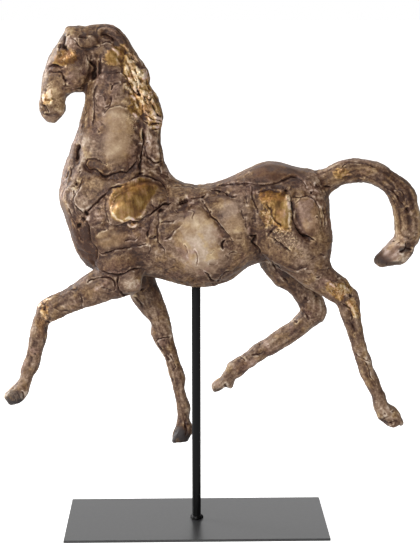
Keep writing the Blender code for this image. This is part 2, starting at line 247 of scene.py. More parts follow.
def lumps(points, size, seed):
    """Soft random lumps from -1 to 1, about one size across."""
    scaled = points / size
    cell = np.floor(scaled).astype(np.int64)
    share = smoothstep(0.0, 1.0, scaled - cell)
    total = np.zeros(len(points))
    for corner in range(8):
        step = np.array([corner & 1, corner >> 1 & 1, corner >> 2 & 1])
        weight = np.prod(np.where(step, share, 1.0 - share), axis=1)
        total += weight * chance(cell + step, seed)
    return 2.0 * total - 1.0


def rough(points, size, octaves, seed, shape=np.positive):
    """Lumps with smaller lumps on them, from about -1 to 1, each size put through a shape."""
    total = np.zeros(len(points))
    for octave in range(octaves):
        total += shape(lumps(points, size / 2 ** octave, seed + octave)) / 2 ** octave
    return total / (2.0 - 2.0 ** (1 - octaves))


def creased(points, size, octaves, seed):
    """Thin wandering valleys between soft lumps: 0 in a valley, up to about 1."""
    return 1.6 * rough(points, size, octaves, seed, np.abs)


def drawn_out(points, direction, stretch):
    """The points squeezed along a direction, so that noise read there is drawn out along it."""
    direction = np.array(direction) / np.linalg.norm(direction)
    along = points @ direction
    return points - np.outer(along * (1.0 - 1.0 / stretch), direction)


def slab_edges(points, size, seed):
    """How far each point is from the edge of its own slab of clay."""
    scaled = points / size
    cell = np.floor(scaled).astype(np.int64)
    nearest = np.full(len(points), 9.0)
    second = np.full(len(points), 9.0)
    for neighbour in range(27):
        step = np.array([neighbour // 9 - 1, neighbour // 3 % 3 - 1, neighbour % 3 - 1])
        other = cell + step
        away = np.zeros(len(points))
        for axis in range(3):
            away += (other[:, axis] + chance(other, seed + axis) - scaled[:, axis]) ** 2
        away = np.sqrt(away)
        second = np.where(away < nearest, nearest, np.minimum(second, away))
        nearest = np.minimum(nearest, away)
    return (second - nearest) * size


def through(route):
    """More points along a smooth curve through the route's own points."""
    route = np.array(route, dtype=float)
    if len(route) < 3:
        return route
    padded = np.vstack((2 * route[0] - route[1], route, 2 * route[-1] - route[-2]))
    points = []
    for before, start, end, after in zip(padded, padded[1:], padded[2:], padded[3:]):
        for t in (0.0, 0.25, 0.5, 0.75):
            points.append(
                start
                + 0.5 * t * (end - before)
                + t * t * (before - 2.5 * start + 2 * end - 0.5 * after)
                + 0.5 * t * t * t * (3 * (start - end) + after - before)
            )
    points.append(route[-1])
    return np.array(points)


class Aspect:
    """The skin as the camera sees one flank of it, in pixels of the photograph.

    Points past the middle plane are turned to the front, so both flanks carry the same forms,
    and there the lines wander, as no two sides of a modelled horse are alike."""

    def __init__(self, points, normals, belongs, middle):
        behind = points[:, 1] > middle
        turned = points.copy()
        turned[:, 1] = np.where(behind, 2 * middle - points[:, 1], points[:, 1])
        facing = normals.copy()
        facing[:, 1] = np.where(behind, -normals[:, 1], normals[:, 1])
        inverse = np.array(camera.matrix_world.inverted())
        seen = turned @ inverse[:3, :3].T + inverse[:3, 3]
        self.x = photo_width / 2 - focal_pixels * seen[:, 0] / seen[:, 2]
        self.y = photo_height / 2 + focal_pixels * seen[:, 1] / seen[:, 2]
        wander = np.where(behind, 3.0 * np.sin(self.y / 21), 0.0)
        self.x += 0.8 * lumps(points, 0.006, 3) + 0.45 * lumps(points, 0.0027, 7) + wander
        wander = np.where(behind, 3.0 * np.sin(self.x / 26), 0.0)
        self.y += 0.8 * lumps(points, 0.006, 5) + 0.45 * lumps(points, 0.0027, 9) + wander
        toward = np.array(camera_place) - turned
        toward /= np.linalg.norm(toward, axis=1)[:, None]
        self.facing = smoothstep(0.0, 0.3, (facing * toward).sum(axis=1))
        self.seen = np.clip(self.facing * 1.6, 0, 1)
        self.belongs = belongs

    def near(self, route, reach):
        """Points within reach of a route: which, how far off, how far along and to which side."""
        line = through(route)
        low = line.min(axis=0) - reach
        high = line.max(axis=0) + reach
        across = (self.x > low[0]) & (self.x < high[0])
        which = np.flatnonzero(self.belongs & across & (self.y > low[1]) & (self.y < high[1]))
        spot = np.stack((self.x[which], self.y[which]), axis=1)
        off = np.full(len(which), out_of_reach)
        along = np.zeros(len(which))
        side = np.zeros(len(which))
        run = 0.0
        for start, end in zip(line, line[1:]):
            step = end - start
            length = max(float(np.hypot(*step)), 1e-6)
            share = np.clip(((spot - start) @ step) / length ** 2, 0.0, 1.0)
            gap = spot - start - share[:, None] * step
            away = np.hypot(gap[:, 0], gap[:, 1])
            closer = away < off
            off = np.where(closer, away, off)
            along = np.where(closer, run + share * length, along)
            left_or_right = np.sign(step[0] * gap[:, 1] - step[1] * gap[:, 0])
            side = np.where(closer, left_or_right * away, side)
            run += length
        return which, off, along / run, side


class Skin:
    """The forms and colours laid on the horse, all as numbers for each point."""

    def __init__(self, mesh):
        self.points = read(mesh.vertices, "co", 3)
        self.normals = read(mesh.vertex_normals, "vector", 3)
        count = len(self.points)
        y = self.points[:, 1]
        low = self.points[:, 2] < belly_line + leg_zone
        self.body = Aspect(self.points, self.normals, np.ones(count, bool), 0.0)
        self.near = Aspect(self.points, self.normals, low & (y < 0), near_middle)
        self.far = Aspect(self.points, self.normals, low & (y > 0), far_middle)
        self.height = np.zeros(count)
        self.cut = np.zeros(count)
        self.along_limb = np.zeros(count)
        self.strand = np.zeros(count)
        self.gap = np.full(count, far_gap)
        self.colours = {name: np.zeros(count) for name in colour_names}
        self.ragged = rough(self.points, 0.010, 3, 90)
        self.uneven = smoothstep(-0.5, 0.35, rough(self.points, 0.0055, 2, 91))

    def lay(self, colour, which, strength):
        """A colour laid on some points, where it isn't stronger already."""
        self.colours[colour][which] = np.maximum(self.colours[colour][which], strength)

    def crack(self, aspect, route, depth, half_width, lap=0.0):
        """A crack between two pads: a narrow line, and the pads rounding down into it.

        With a lap, the pad to the right of the route stands that much over the other."""
        which, off, along, side = aspect.near(route, 9 * half_width + 2)
        ends = 0.3 + 0.7 * np.clip(np.minimum(along, 1 - along) / 0.15, 0, 1)
        facing = aspect.facing[which] * ends
        open_all_along = np.clip((depth - 1.8) / 1.2, 0.0, 1.0)
        uneven = open_all_along + (1.0 - open_all_along) * self.uneven[which]
        line = half_width if len(route) > 2 else 1.3 * half_width
        narrow = bell(off, 0.6 * line * (0.6 + 0.7 * self.uneven[which]))
        wide = bell(off, 3.0 * half_width)
        cut = depth * facing * ((0.4 + 0.6 * uneven) * 0.85 * narrow + 0.32 * wide)
        self.cut[which] = np.maximum(self.cut[which], cut)
        self.height[which] += lap * facing * wide * np.tanh(side / (0.5 * half_width))
        # The dark line along the crack is brown wash and painted shade together
        crack_darkness = np.clip(depth / full_crack, 0.2, 1.0)
        width = 0.62 * line * (0.5 + 0.65 * self.uneven[which])
        gap = off / width + 1.3 * (1.0 - crack_darkness * np.sqrt(facing)) + 0.5 * (1.0 - uneven)
        self.gap[which] = np.minimum(self.gap[which], gap)
        lip = (0.3 + 0.7 * uneven) * bell(off - 2.0 * half_width, 0.7 * half_width)
        self.height[which] += 0.2 * facing * lip
        # Painted shade on the pads, darkest beside the crack, and brown wash close along it
        shade = np.clip(depth / full_crack, 0.3, 1.0)
        self.lay("shade", which, shade * facing * bell(off, 5.0 * half_width))
        self.lay("wash", which, crack_darkness * facing * bell(off, 2.6 * half_width))

    def swell(self, aspect, route, height, half_width):
        """A ridge or a pad pushed out along a route."""
        which, off, _, _ = aspect.near(route, 2.6 * half_width)
        self.height[which] += height * aspect.facing[which] * bell(off, half_width)

    def press(self, aspect, route, depth, half_width):
        """A form pushed in, or pulled out with a depth below 0, right round the edge of the outline."""
        which, off, _, _ = aspect.near(route, 2.6 * half_width)
        self.height[which] -= depth * bell(off, half_width)

    def tint(self, aspect, colour, route, half_width, strength):
        """A patch of colour with a ragged edge."""
        which, off, _, _ = aspect.near(route, 1.5 * half_width + 3)
        ragged = off + 0.16 * half_width * self.ragged[which]
        patch = strength * (1.0 - smoothstep(0.6 * half_width, 1.35 * half_width, ragged))
        self.lay(colour, which, patch * aspect.seen[which])

    def fill(self, aspect, colour, outline, soft, strength):
        """Colour inside an outline, fading and fraying over a few pixels at its edge."""
        closed = tuple(outline) + (outline[0],)
        which, off, _, _ = aspect.near(closed, 3 * soft)
        x = aspect.x[which]
        y = aspect.y[which]
        inside = np.zeros(len(which), bool)
        line = through(closed)
        for (x0, y0), (x1, y1) in zip(line, line[1:]):
            slope = (x1 - x0) / (y1 - y0) if y1 != y0 else 0.0
            inside ^= ((y0 > y) != (y1 > y)) & (x < x0 + (y - y0) * slope)
        edge = np.where(inside, -off, off) + 1.5 * soft * self.ragged[which]
        self.lay(colour, which, strength * (1.0 - smoothstep(-soft, soft, edge)) * aspect.seen[which])

    def fibres(self, aspect, route, half_width, height, stretch, size):
        """Hair or sinew that runs along a route."""
        which, off, along, side = aspect.near(route, half_width)
        length = np.hypot(*np.diff(through(route), axis=0).T).sum()
        inward = self.points[which, 1] * pixels_in_a_metre
        grain = np.stack((along * length / stretch, side, inward), axis=1)
        fade = 1.0 - smoothstep(0.7 * half_width, half_width, off)
        strand = creased(grain, size, 3, 41)
        self.height[which] += height * fade * (strand - 0.5)
        stronger = fade > self.along_limb[which]
        self.strand[which] = np.where(stronger, 1.7 * strand - 0.8, self.strand[which])
        self.along_limb[which] = np.maximum(self.along_limb[which], fade)


# Cracks of the head: depth in millimetres, half width in pixels, the route in pixels, and for
# some how far, in millimetres, the pad to the right of the route laps over the other
head_cracks = {
    "ear slit": (3.4, 1.9, ((78.8, 37.2), (82.5, 36.8), (86.8, 37))),
    "ear lobe edge": (1.8, 1.0, (
        (77.5, 39), (78, 44), (80, 47.5), (85.6, 48.3), (91.4, 47.3), (98, 46)), -0.9),
    "ear upper edge": (0.7, 0.9, ((86, 35), (93, 35), (100, 36))),
    "forelock front": (2.2, 1.5, ((65, 34), (64.3, 40), (63.5, 46), (67, 50))),
    "forelock back": (1.2, 1.0, ((72, 38), (76, 41), (77.5, 46))),
    "forelock cavity": (2.6, 2.2, ((62.5, 44), (65.5, 48))),
    "face edge cavity": (2.2, 1.1, ((59.8, 43.5), (59, 48.5))),
    "poll pit": (1.4, 1.1, ((68, 34.5), (68.3, 36))),
    "brow underside": (2.2, 1.2, ((49, 66), (52, 65), (56, 65.5), (62.6, 67.4)), -0.9),
    "eyelid": (1.7, 1.1, ((48.5, 72), (54, 72.6), (60, 72.6), (62.6, 75), (63.8, 79), (66.4, 82)), 0.7),
    "eye corner": (1.8, 1.4, ((65.2, 79), (66, 81.5))),
    "cheek front": (0.9, 1.3, ((62.8, 74), (66, 83), (64, 85.4))),
    "jaw underside": (1.6, 1.3, ((63.8, 85.4), (69.6, 87.4), (76.7, 88.8), (83.7, 87.4), (88, 83))),
    "jaw and neck": (3.6, 1.7, ((90.2, 61.7), (92.7, 65), (94, 68.7), (93, 74), (91.4, 79)), 0.8),
    "throat": (2.0, 3.0, ((97.5, 62), (98.5, 68), (98.5, 75))),
    "cheek back": (1.1, 0.9, ((86.3, 54.6), (87, 57), (88.2, 61)), 0.5),
    "ear to throat": (1.4, 1.1, ((101, 50.8), (100.4, 58.5), (99.7, 67.4), (99, 72.6))),
    "cheek crease": (0.7, 0.9, ((79, 68), (82, 71), (83, 75))),
    "nostril": (2.2, 1.0, ((42, 105), (45.3, 107.2), (48.8, 112.3))),
    "nostril front": (1.0, 0.8, ((40.8, 107.8), (44, 112.3))),
    "mouth": (1.6, 0.9, ((43.5, 114.3), (49.7, 114.8), (56.2, 114.2))),
    "nose side": (0.8, 1.1, ((47, 88), (49, 86), (52, 85))),
    "chin crease": (0.7, 0.9, ((57, 104), (58.5, 107), (57, 109))),
    "mane curl": (1.8, 1.1, ((101, 35.4), (105.5, 35.4), (110, 38), (114, 42)), 0.6),
    "mane curl below": (1.6, 1.0, ((102, 43.4), (105.5, 42.4), (109.4, 42), (112, 43.7)), 0.6),
    "mane fall": (1.2, 1.2, ((124, 46), (125, 53), (123, 60))),
}

# Cracks of the neck and the chest
neck_cracks = {
    "throat line": (1.3, 1.0, (
        (96.5, 83), (94.6, 90), (93.7, 97), (94, 104), (94, 111), (92, 124)), 0.5),
    "throat loop": (1.0, 0.9, ((97, 93.7), (101.7, 94.7), (105, 98), (105.2, 102.7))),
    "throat loop low": (1.0, 0.9, ((96, 98), (96.5, 105.3), (99, 107.8))),
    "neck nick": (1.0, 0.9, ((104.2, 81.5), (104.5, 86))),
    "neck strap": (1.5, 1.0, ((103, 72.6), (108.7, 73.2), (116.4, 73.2), (120.3, 73.2)), 0.6),
    "strap underside": (1.3, 1.0, ((110.6, 90), (112.6, 86), (116.4, 83), (121, 82)), -0.5),
    "strap fall": (1.2, 1.1, ((111.3, 95), (111, 101.4), (109.4, 106), (104.2, 107.8))),
    "neck pad top": (1.2, 1.1, (
        (103.8, 114), (108, 109), (113, 107), (119.3, 106), (125, 107.4), (129.2, 108.5)), 0.7),
    "neck pad bottom": (2.4, 1.25, (
        (88.3, 160.6), (85.5, 163.5), (87, 167.7), (90.4, 169.8), (95.3, 169.5), (100.3, 173.3),
        (104.5, 175.8), (110, 175.5), (114.4, 173.3), (120, 172), (126.4, 172.6), (130, 169),
        (134.8, 165), (137.6, 161.4)), -0.9),
    "neck front slit": (3.4, 1.6, ((78.4, 145), (76.6, 149.4), (77, 154.3), (75.6, 160))),
    "neck back crack": (3.0, 1.3, (
        (143.3, 130), (143.3, 136.7), (143.3, 145), (142, 152), (141.5, 159), (140.5, 166),
        (140.8, 174.8)), 0.5),
    "neck back hollow": (3.0, 2.0, ((140.5, 172.5), (141.5, 174.5))),
    "mane foot branch": (1.5, 1.0, ((136.2, 145), (140.5, 142.7), (143.3, 143), (148.9, 142.3))),
    "mane foot": (2.0, 1.1, (
        (145.4, 146.5), (146, 152), (149, 158), (153.2, 162), (157.4, 162.8), (161.6, 161.4)), -0.7),
    "withers slab": (1.3, 1.0, ((158, 165.6), (160.2, 170.5), (161, 174.8)), -0.6),
    "withers line": (2.0, 1.1, ((160.2, 175.5), (164.4, 175), (169.4, 177))),
    "withers nick": (1.6, 0.9, ((167.6, 171.6), (169, 175.5))),
    "chest edge": (1.7, 1.0, ((67.8, 170), (67.5, 175), (65.4, 179))),
    "chest fold": (1.4, 1.3, ((70, 168), (71, 173), (70.5, 177))),
    "chest pit one": (2.4, 1.3, ((75.5, 183.2), (77.2, 183))),
    "chest pit two": (1.2, 0.8, ((74.2, 186.4), (74.4, 187))),
    "chest pit three": (2.4, 1.3, ((73.1, 191.3), (74, 191))),
    "chest pit four": (1.3, 0.8, ((79, 172), (79.4, 173))),
    "neck pits": (1.0, 1.1, ((98.5, 129), (99, 132))),
    "brown oval top": (1.2, 1.1, ((86, 161), (92, 159.5), (99, 160.5), (106, 165))),
}

# Cracks of the shoulder and the breast
shoulder_cracks = {
    "porous patch front": (1.2, 1.2, (
        (83, 179), (81, 183.4), (79.7, 188.3), (76.2, 193.3), (73.3, 198.2), (74.7, 204),
        (79, 209.5), (85.3, 215)), -0.7),
    "porous patch back": (1.9, 1.2, (
        (86, 212.3), (89.6, 209.5), (94.5, 204.6), (98.7, 200.3), (105, 194), (108.6, 191.2),
        (112.8, 187.6), (118.5, 186), (127, 184)), -0.7),
    "breast notch": (3.0, 1.6, ((86, 211.5), (86.5, 215.5))),
    "shoulder pad top": (2.2, 1.2, (
        (130.5, 180.6), (134.7, 177.8), (139.6, 176.3), (146, 176), (152.3, 177.8), (158.7, 181.3),
        (163, 184.8), (166, 190), (167, 196)), 0.9),
    "shoulder pad bottom": (2.0, 1.0, (
        (110.7, 224.3), (115, 225.7), (120.6, 225), (125.5, 223), (129.8, 220.8), (134, 222.2),
        (139, 221.5), (144, 218), (150.2, 213.7), (155, 210.2)), -0.9),
    "shoulder pad front": (0.8, 1.0, ((107, 196), (105.5, 206), (106.5, 216), (109.5, 224))),
    "button edge": (1.3, 0.9, (
        (152, 200.5), (151.4, 204), (154, 207), (158, 206.5), (159.6, 202)), -0.8),
    "upper slab": (1.5, 1.0, ((92.4, 227), (96.6, 224.3), (103, 222.2)), 0.5),
    "slab arc": (1.0, 1.0, ((96.6, 235), (100, 231.4), (105, 230)), 0.6),
    "slab inner": (1.1, 0.9, ((124, 241.2), (130.5, 240.5), (136, 239.8), (138.2, 237)), 0.5),
    "slabs between": (1.9, 1.0, (
        (100, 251.8), (103.7, 254), (110, 252.5), (115, 250), (122.7, 249), (129.8, 247.2),
        (136, 246.2), (146, 244)), 0.6),
    "breast line": (2.6, 1.25, (
        (86.7, 220.8), (88.5, 226.4), (89.6, 232), (90.3, 237.7), (91, 242), (94.5, 246.2),
        (97.3, 249.7), (97.3, 254), (95.6, 259), (94.5, 264.5), (97.3, 268)), -0.9),
    "breast underside": (2.4, 1.2, (
        (100, 269.5), (104.4, 272.3), (110.7, 274.4), (117, 275), (122.7, 273.7), (128.4, 271.6),
        (134.7, 268.8), (140.4, 267.7)), -0.9),
    "elbow crease": (1.7, 1.0, ((146, 258.2), (148.8, 254), (150.2, 249), (150, 246))),
    "lens front": (2.4, 1.1, ((148.1, 238.5), (148.1, 232), (150.2, 225), (153, 219.4)), 0.8),
    "lens underside": (2.4, 1.2, ((148.8, 239.2), (153, 239.5), (156.6, 236.3))),
    "breast hollow": (2.4, 2.2, ((77.5, 224), (80, 226))),
    "breast hollow upper": (2.0, 2.0, ((82, 217.5), (85, 220.5))),
    "breast strand": (1.2, 1.1, ((72, 200), (74, 210), (78, 218))),
    "breast front edge": (1.0, 1.2, ((67, 205), (71, 216), (77, 230), (84, 244))),
}

# Cracks of the ribs, the back and the belly
rib_cracks = {
    "back crack": (3.0, 1.4, ((149.6, 215.4), (153.5, 211.5), (158.8, 208), (165, 204), (171, 202))),
    "back crack hollow": (3.0, 2.2, ((158.5, 212), (163.5, 209.5))),
    "back hollow": (4.6, 3.4, ((180, 204), (184, 203), (188, 201.5))),
    "back hollow end": (2.6, 1.2, ((178.5, 203), (183, 200), (188.5, 199))),
    "back crack rear": (2.2, 1.1, ((191, 197.9), (195.8, 197.9), (202, 197), (205.8, 194.5))),
    "back crack loin": (2.2, 1.2, (
        (210.4, 190), (217, 190), (222.7, 191.5), (228, 195.4), (231, 196.5), (235.8, 196))),
    "loin pit": (2.6, 1.5, ((218, 191), (221, 191))),
    "back pit": (2.4, 1.3, ((201, 198), (204, 196.5))),
    "back line": (0.9, 1.0, ((168, 186), (179.6, 186), (191, 186.5), (197.3, 188.5), (205, 190.8))),
    "rib line": (1.8, 1.0, (
        (201.5, 199.6), (203.5, 203), (206.5, 207.7), (210.4, 215.4), (215, 220), (220.4, 225.4),
        (225.8, 231.5), (232, 240)), -0.6),
    "rib pit": (1.9, 1.1, ((210.3, 211.3), (211.4, 212.8))),
    "belly slit": (3.0, 1.5, ((225, 240), (222.7, 243.8), (223, 248.5))),
    "belly curl": (1.0, 0.8, ((225.4, 243), (227.7, 241.5), (227, 245.8))),
    "belly wave": (1.0, 0.9, ((229, 253.8), (233.5, 252), (238.8, 253.5), (241, 254.2))),
    "belly tick": (0.8, 0.8, ((209.6, 254.6), (214.2, 250), (215.8, 249.2))),
    "belly tick two": (0.8, 0.8, ((225, 255.4), (228.8, 257))),
    "belly tick three": (0.9, 0.8, ((208.8, 263), (212.7, 264.6), (216.5, 263.5))),
    "rib fork": (1.3, 1.0, ((160.4, 223), (166.5, 222.3), (172, 222), (174.6, 220.4)), 0.6),
    "rib front": (1.7, 1.1, (
        (158.5, 216), (158.5, 224), (157.3, 231), (157.7, 237.7), (159.2, 243.8), (163.5, 248.5),
        (165, 254.6)), -0.6),
    "rib diagonal": (1.5, 1.1, (
        (165, 239.2), (169.6, 237), (173.5, 231.5), (176.5, 229.2), (181, 225)), 0.6),
    "rib hook": (0.9, 0.9, ((185, 210), (191, 210), (194.2, 212.3), (192, 219.2))),
    "rib nick": (1.2, 1.0, ((175, 210), (178.8, 212.7))),
    "belly crack": (2.0, 1.2, (
        (202, 270), (207.3, 273.8), (210.4, 279.2), (214.2, 281.5), (218.8, 280.8), (221, 277),
        (225, 273), (232, 270.8)), -0.7),
    "flank hollow": (3.4, 2.0, ((251, 236.5), (255.5, 235.8), (253.2, 241))),
    "flank line": (1.6, 1.0, ((255, 245.4), (259.6, 250.8), (258.8, 254.6))),
    "flank crease": (1.2, 1.0, ((241, 210), (244, 220))),
    "flank crease two": (1.0, 1.0, ((245.8, 217.7), (245.8, 228.5))),
    "flank fold": (1.4, 1.1, ((251, 185.4), (252.7, 195.4), (255.8, 207), (257.3, 213))),
    "flank fold two": (1.0, 1.1, ((247, 186), (246, 196), (247, 205))),
    "belly scar": (0.7, 0.9, ((184, 244), (186.5, 250), (187.5, 258))),
    "belly scar two": (0.6, 0.9, ((195, 250), (197, 258), (196, 266))),
}

# Cracks of the croup, the hip and the root of the tail
hip_cracks = {
    "croup underside": (1.8, 1.2, (
        (218.8, 184.6), (229.6, 183.8), (241, 183.5), (248.7, 183.6), (257.3, 185.3), (266, 185.3),
        (274.6, 183.6), (281.6, 181), (288.5, 178), (295.4, 177), (302.3, 180), (307.5, 187)), -0.8),
    "croup pit": (3.0, 2.0, ((285, 190), (287.5, 191))),
    "rump pit": (2.2, 1.3, ((311, 192), (312.8, 193.5))),
    "hip hollow": (3.0, 2.4, ((269.5, 231.5), (271.5, 233))),
    "tail root": (1.8, 1.1, ((316.6, 184), (320.5, 187))),
    "tail root two": (1.8, 1.2, ((325, 186.5), (331, 187))),
    "hip inner line": (1.5, 1.1, (
        (266, 204.4), (270.3, 210.4), (273, 217.3), (278, 223.4), (282.4, 227.7)), 0.6),
    "rump crack": (3.6, 1.6, (
        (291.5, 198), (293.7, 210.4), (292.8, 217.3), (294.5, 222.5), (298, 228.6), (301.5, 233),
        (308.4, 237.3), (313.6, 239.8)), -0.8),
    "rump pad edge": (0.9, 1.0, (
        (297, 203.5), (304, 196.6), (312, 198.3), (318, 205.2), (320.5, 214), (321.4, 224.3),
        (320.5, 233)), 0.3),
    "rump back edge": (1.0, 1.0, ((323, 207), (324.8, 217.3), (325.7, 228.6))),
    "rump pad pit": (1.2, 1.0, ((316.6, 216.5), (317.3, 218))),
    "rump shelf": (1.4, 1.0, ((291, 197.4), (300.6, 197.4), (307.5, 196.6))),
    "thigh front": (2.2, 1.2, (
        (251.3, 235.5), (253, 241.6), (258.2, 247.6), (260.3, 252), (265, 258), (272, 263),
        (280.7, 268.4)), -0.9),
    "thigh smile": (1.8, 1.0, (
        (286, 266.7), (291, 268.4), (297, 270.2), (302.3, 268.4), (306.2, 267)), 0.6),
    "thigh diagonal": (1.8, 1.2, ((273, 237.3), (278, 242.4), (284.2, 246.8), (290.2, 251)), -0.6),
    "thigh notch": (1.5, 1.0, ((320.5, 253.7), (324.8, 255.4))),
    "thigh tick": (1.2, 0.9, ((316.2, 278), (319.7, 278))),
    "hip top": (1.2, 1.1, ((258, 193), (264, 190), (273, 190), (281, 193))),
}

# Cracks of each leg, on its own mass
near_leg_cracks = {
    "forearm loop": (1.9, 1.1, (
        (87.4, 283.6), (91.2, 279), (100.5, 277), (108.8, 277.6), (113.5, 281.7), (115, 287.3),
        (113, 291))),
    "forearm shade": (1.4, 1.2, ((101, 287.8), (107, 289.7), (112.6, 291))),
    "forearm root": (2.2, 1.3, ((118, 275.2), (117.7, 281.7), (118, 289), (120, 293.8))),
    "forearm crease": (1.4, 1.0, ((79.5, 289.2), (80.5, 295.7), (82, 302), (82.3, 307))),
    "forearm top": (1.0, 1.0, ((70.7, 289.7), (79, 289.7))),
    "forearm under": (1.0, 1.0, ((55, 307.8), (60.5, 310.6), (69.8, 311.5))),
    "knee back": (1.5, 1.0, ((45.6, 320.8), (50.2, 322.7))),
    "shin back": (1.2, 0.9, ((44.7, 324.5), (46.5, 332), (44.2, 339.4), (45, 344))),
    "knee pit": (1.2, 1.1, ((45, 306), (45.3, 311))),
    "front hoof ring": (0.8, 1.0, ((8, 391), (13, 395), (16, 401))),
    "front hoof ring two": (0.8, 1.0, ((13, 388), (18, 393), (20, 400))),
    "front hoof heel": (1.0, 1.0, ((22, 391), (24, 396), (22, 400))),
    "elbow ring": (2.2, 1.2, ((119.7, 291), (122, 295.3), (125.8, 296.5), (130.7, 295.3))),
    "hock groove": (1.7, 1.1, (
        (339.7, 302.5), (344, 304.7), (349.5, 308), (351.6, 314.5), (351.6, 323), (354.4, 329.7),
        (355, 335))),
    "hock hollow": (2.2, 1.7, ((348.5, 295.8), (351.8, 296.3))),
    "cannon line": (1.2, 1.0, ((356, 354.8), (362.5, 358), (370.2, 362))),
    "fetlock line": (1.4, 1.0, ((365.8, 362.4), (369, 370), (371.3, 377.6), (376.7, 384.2))),
    "hoof pit": (2.6, 1.3, ((384.3, 417.6), (384.6, 418.4))),
    "hoof pit two": (2.2, 1.2, ((391.2, 422), (391.4, 422.8))),
    "hoof pit three": (1.0, 0.9, ((385, 413.6), (385.2, 414.4))),
    "hoof pit four": (1.0, 0.9, ((392.4, 410.6), (392.7, 411.4))),
    "pastern pit": (1.0, 0.9, ((375.5, 401.2), (375.8, 402))),
    "stifle pit": (1.2, 1.0, ((337.8, 276.6), (338.3, 277.5))),
    "hind hoof heel": (0.8, 0.9, ((379, 417), (383, 420), (386, 421))),
}
far_leg_cracks = {
    "forearm line": (1.6, 1.1, ((130, 295), (135, 292), (140, 290), (146, 288))),
    "forearm back": (1.3, 1.1, ((135, 297), (140, 303), (143, 307))),
    "knee crease": (1.5, 1.1, ((156, 341), (160, 339), (165, 338), (170, 336))),
    "knee shade": (1.6, 1.3, ((158, 343), (160, 348), (162.5, 352))),
    "shin hollow": (1.5, 1.6, ((165, 355), (169, 360))),
    "shin line": (1.2, 0.9, ((171, 355), (175, 365), (173, 370))),
    "fetlock pit": (1.2, 1.1, ((172, 378.5), (172.2, 383))),
    "coronet": (1.6, 1.4, ((184.5, 421), (186, 426), (187, 431), (185, 436))),
    "thigh line": (1.7, 1.2, ((272, 262), (275, 268), (280, 275), (288, 283))),
    "gaskin hollow": (1.8, 1.5, ((305, 297), (308, 301))),
    "gaskin line": (1.5, 1.1, ((303, 310), (308, 318))),
    "hock pit": (1.5, 1.2, ((312.7, 320.6), (313.3, 321.6))),
    "cannon hollow": (1.6, 1.4, ((294.5, 320), (296.5, 323))),
    "cannon line": (1.2, 1.0, ((250, 355), (258, 354), (264, 351))),
    "cannon pit": (1.5, 1.3, ((241, 357), (245.5, 361))),
    "pastern line": (1.3, 1.2, ((225, 384), (227, 388))),
}

# Cracks of the mane and the tail
hair_cracks = {
    "mane line": (2.0, 1.1, ((122, 73), (125.5, 75), (129.6, 83), (134.7, 92), (138, 96))),
    "mane dark heart": (1.8, 1.7, ((137.5, 91), (139.5, 96))),
    "mane front gap": (1.8, 1.4, ((124.2, 49), (125.2, 56))),
    "mane crest gap": (1.1, 1.5, ((131, 57), (134, 60))),
    "mane crest shade": (0.8, 2.4, ((139, 65), (144, 69))),
    "mane strand": (1.7, 0.9, ((129.5, 67), (132.5, 76), (136.5, 84), (137.8, 91))),
    "mane strand two": (1.7, 0.9, ((134.5, 68), (138, 76), (142, 84))),
    "mane nick": (1.6, 1.0, ((134, 74), (136.5, 79), (137.5, 86))),
    "mane nick two": (1.4, 1.0, ((147, 82), (148, 87), (152, 91))),
    "mane fold": (2.0, 1.6, ((145, 97), (149, 100), (152, 98))),
    "mane fold two": (1.1, 1.0, ((141, 99), (143, 105), (142.5, 110), (143.5, 116))),
    "mane fold three": (1.7, 1.1, ((152.4, 104), (155.3, 111), (159, 116), (161.5, 118))),
    "mane fold four": (1.6, 0.9, ((144, 115), (149.6, 117.5), (155, 120), (161, 121))),
    "mane fold five": (1.6, 1.2, ((144, 121), (149, 124), (156, 124.5), (161, 123))),
    "mane end": (1.5, 1.0, ((149, 131), (155, 130), (161, 128))),
    "tail top": (1.5, 1.0, (
        (342, 167.2), (344.5, 165.2), (350, 162.8), (355.7, 162.8), (362, 163.2), (369.3, 165.2),
        (376.5, 167.2)), 0.6),
    "tail dark": (1.5, 1.7, ((359, 176.5), (363, 178.5))),
    "tail fold": (1.7, 1.0, (
        (387, 189.3), (392.5, 191), (396.5, 195.7), (400.5, 202), (403.8, 207)), 0.7),
    "tail fold two": (1.4, 0.9, ((390, 188.5), (398, 190), (403.8, 195), (405.4, 201.3))),
    "tail blotch": (2.2, 2.2, ((406.5, 208), (409, 212))),
    "tail shade": (1.4, 1.2, ((393, 200.5), (394.5, 204.5))),
    "tail tip": (2.2, 1.2, ((405.8, 242), (406.2, 247), (402, 251.8), (400.5, 252.6)), 0.7),
    "tail tip two": (2.0, 1.2, ((406.2, 247.8), (411.8, 249.4))),
    "tail pit": (2.4, 1.1, ((393, 240.7), (393.2, 241.4))),
    "tail pit two": (2.4, 1.1, ((398.8, 242.6), (399.2, 243.3))),
}

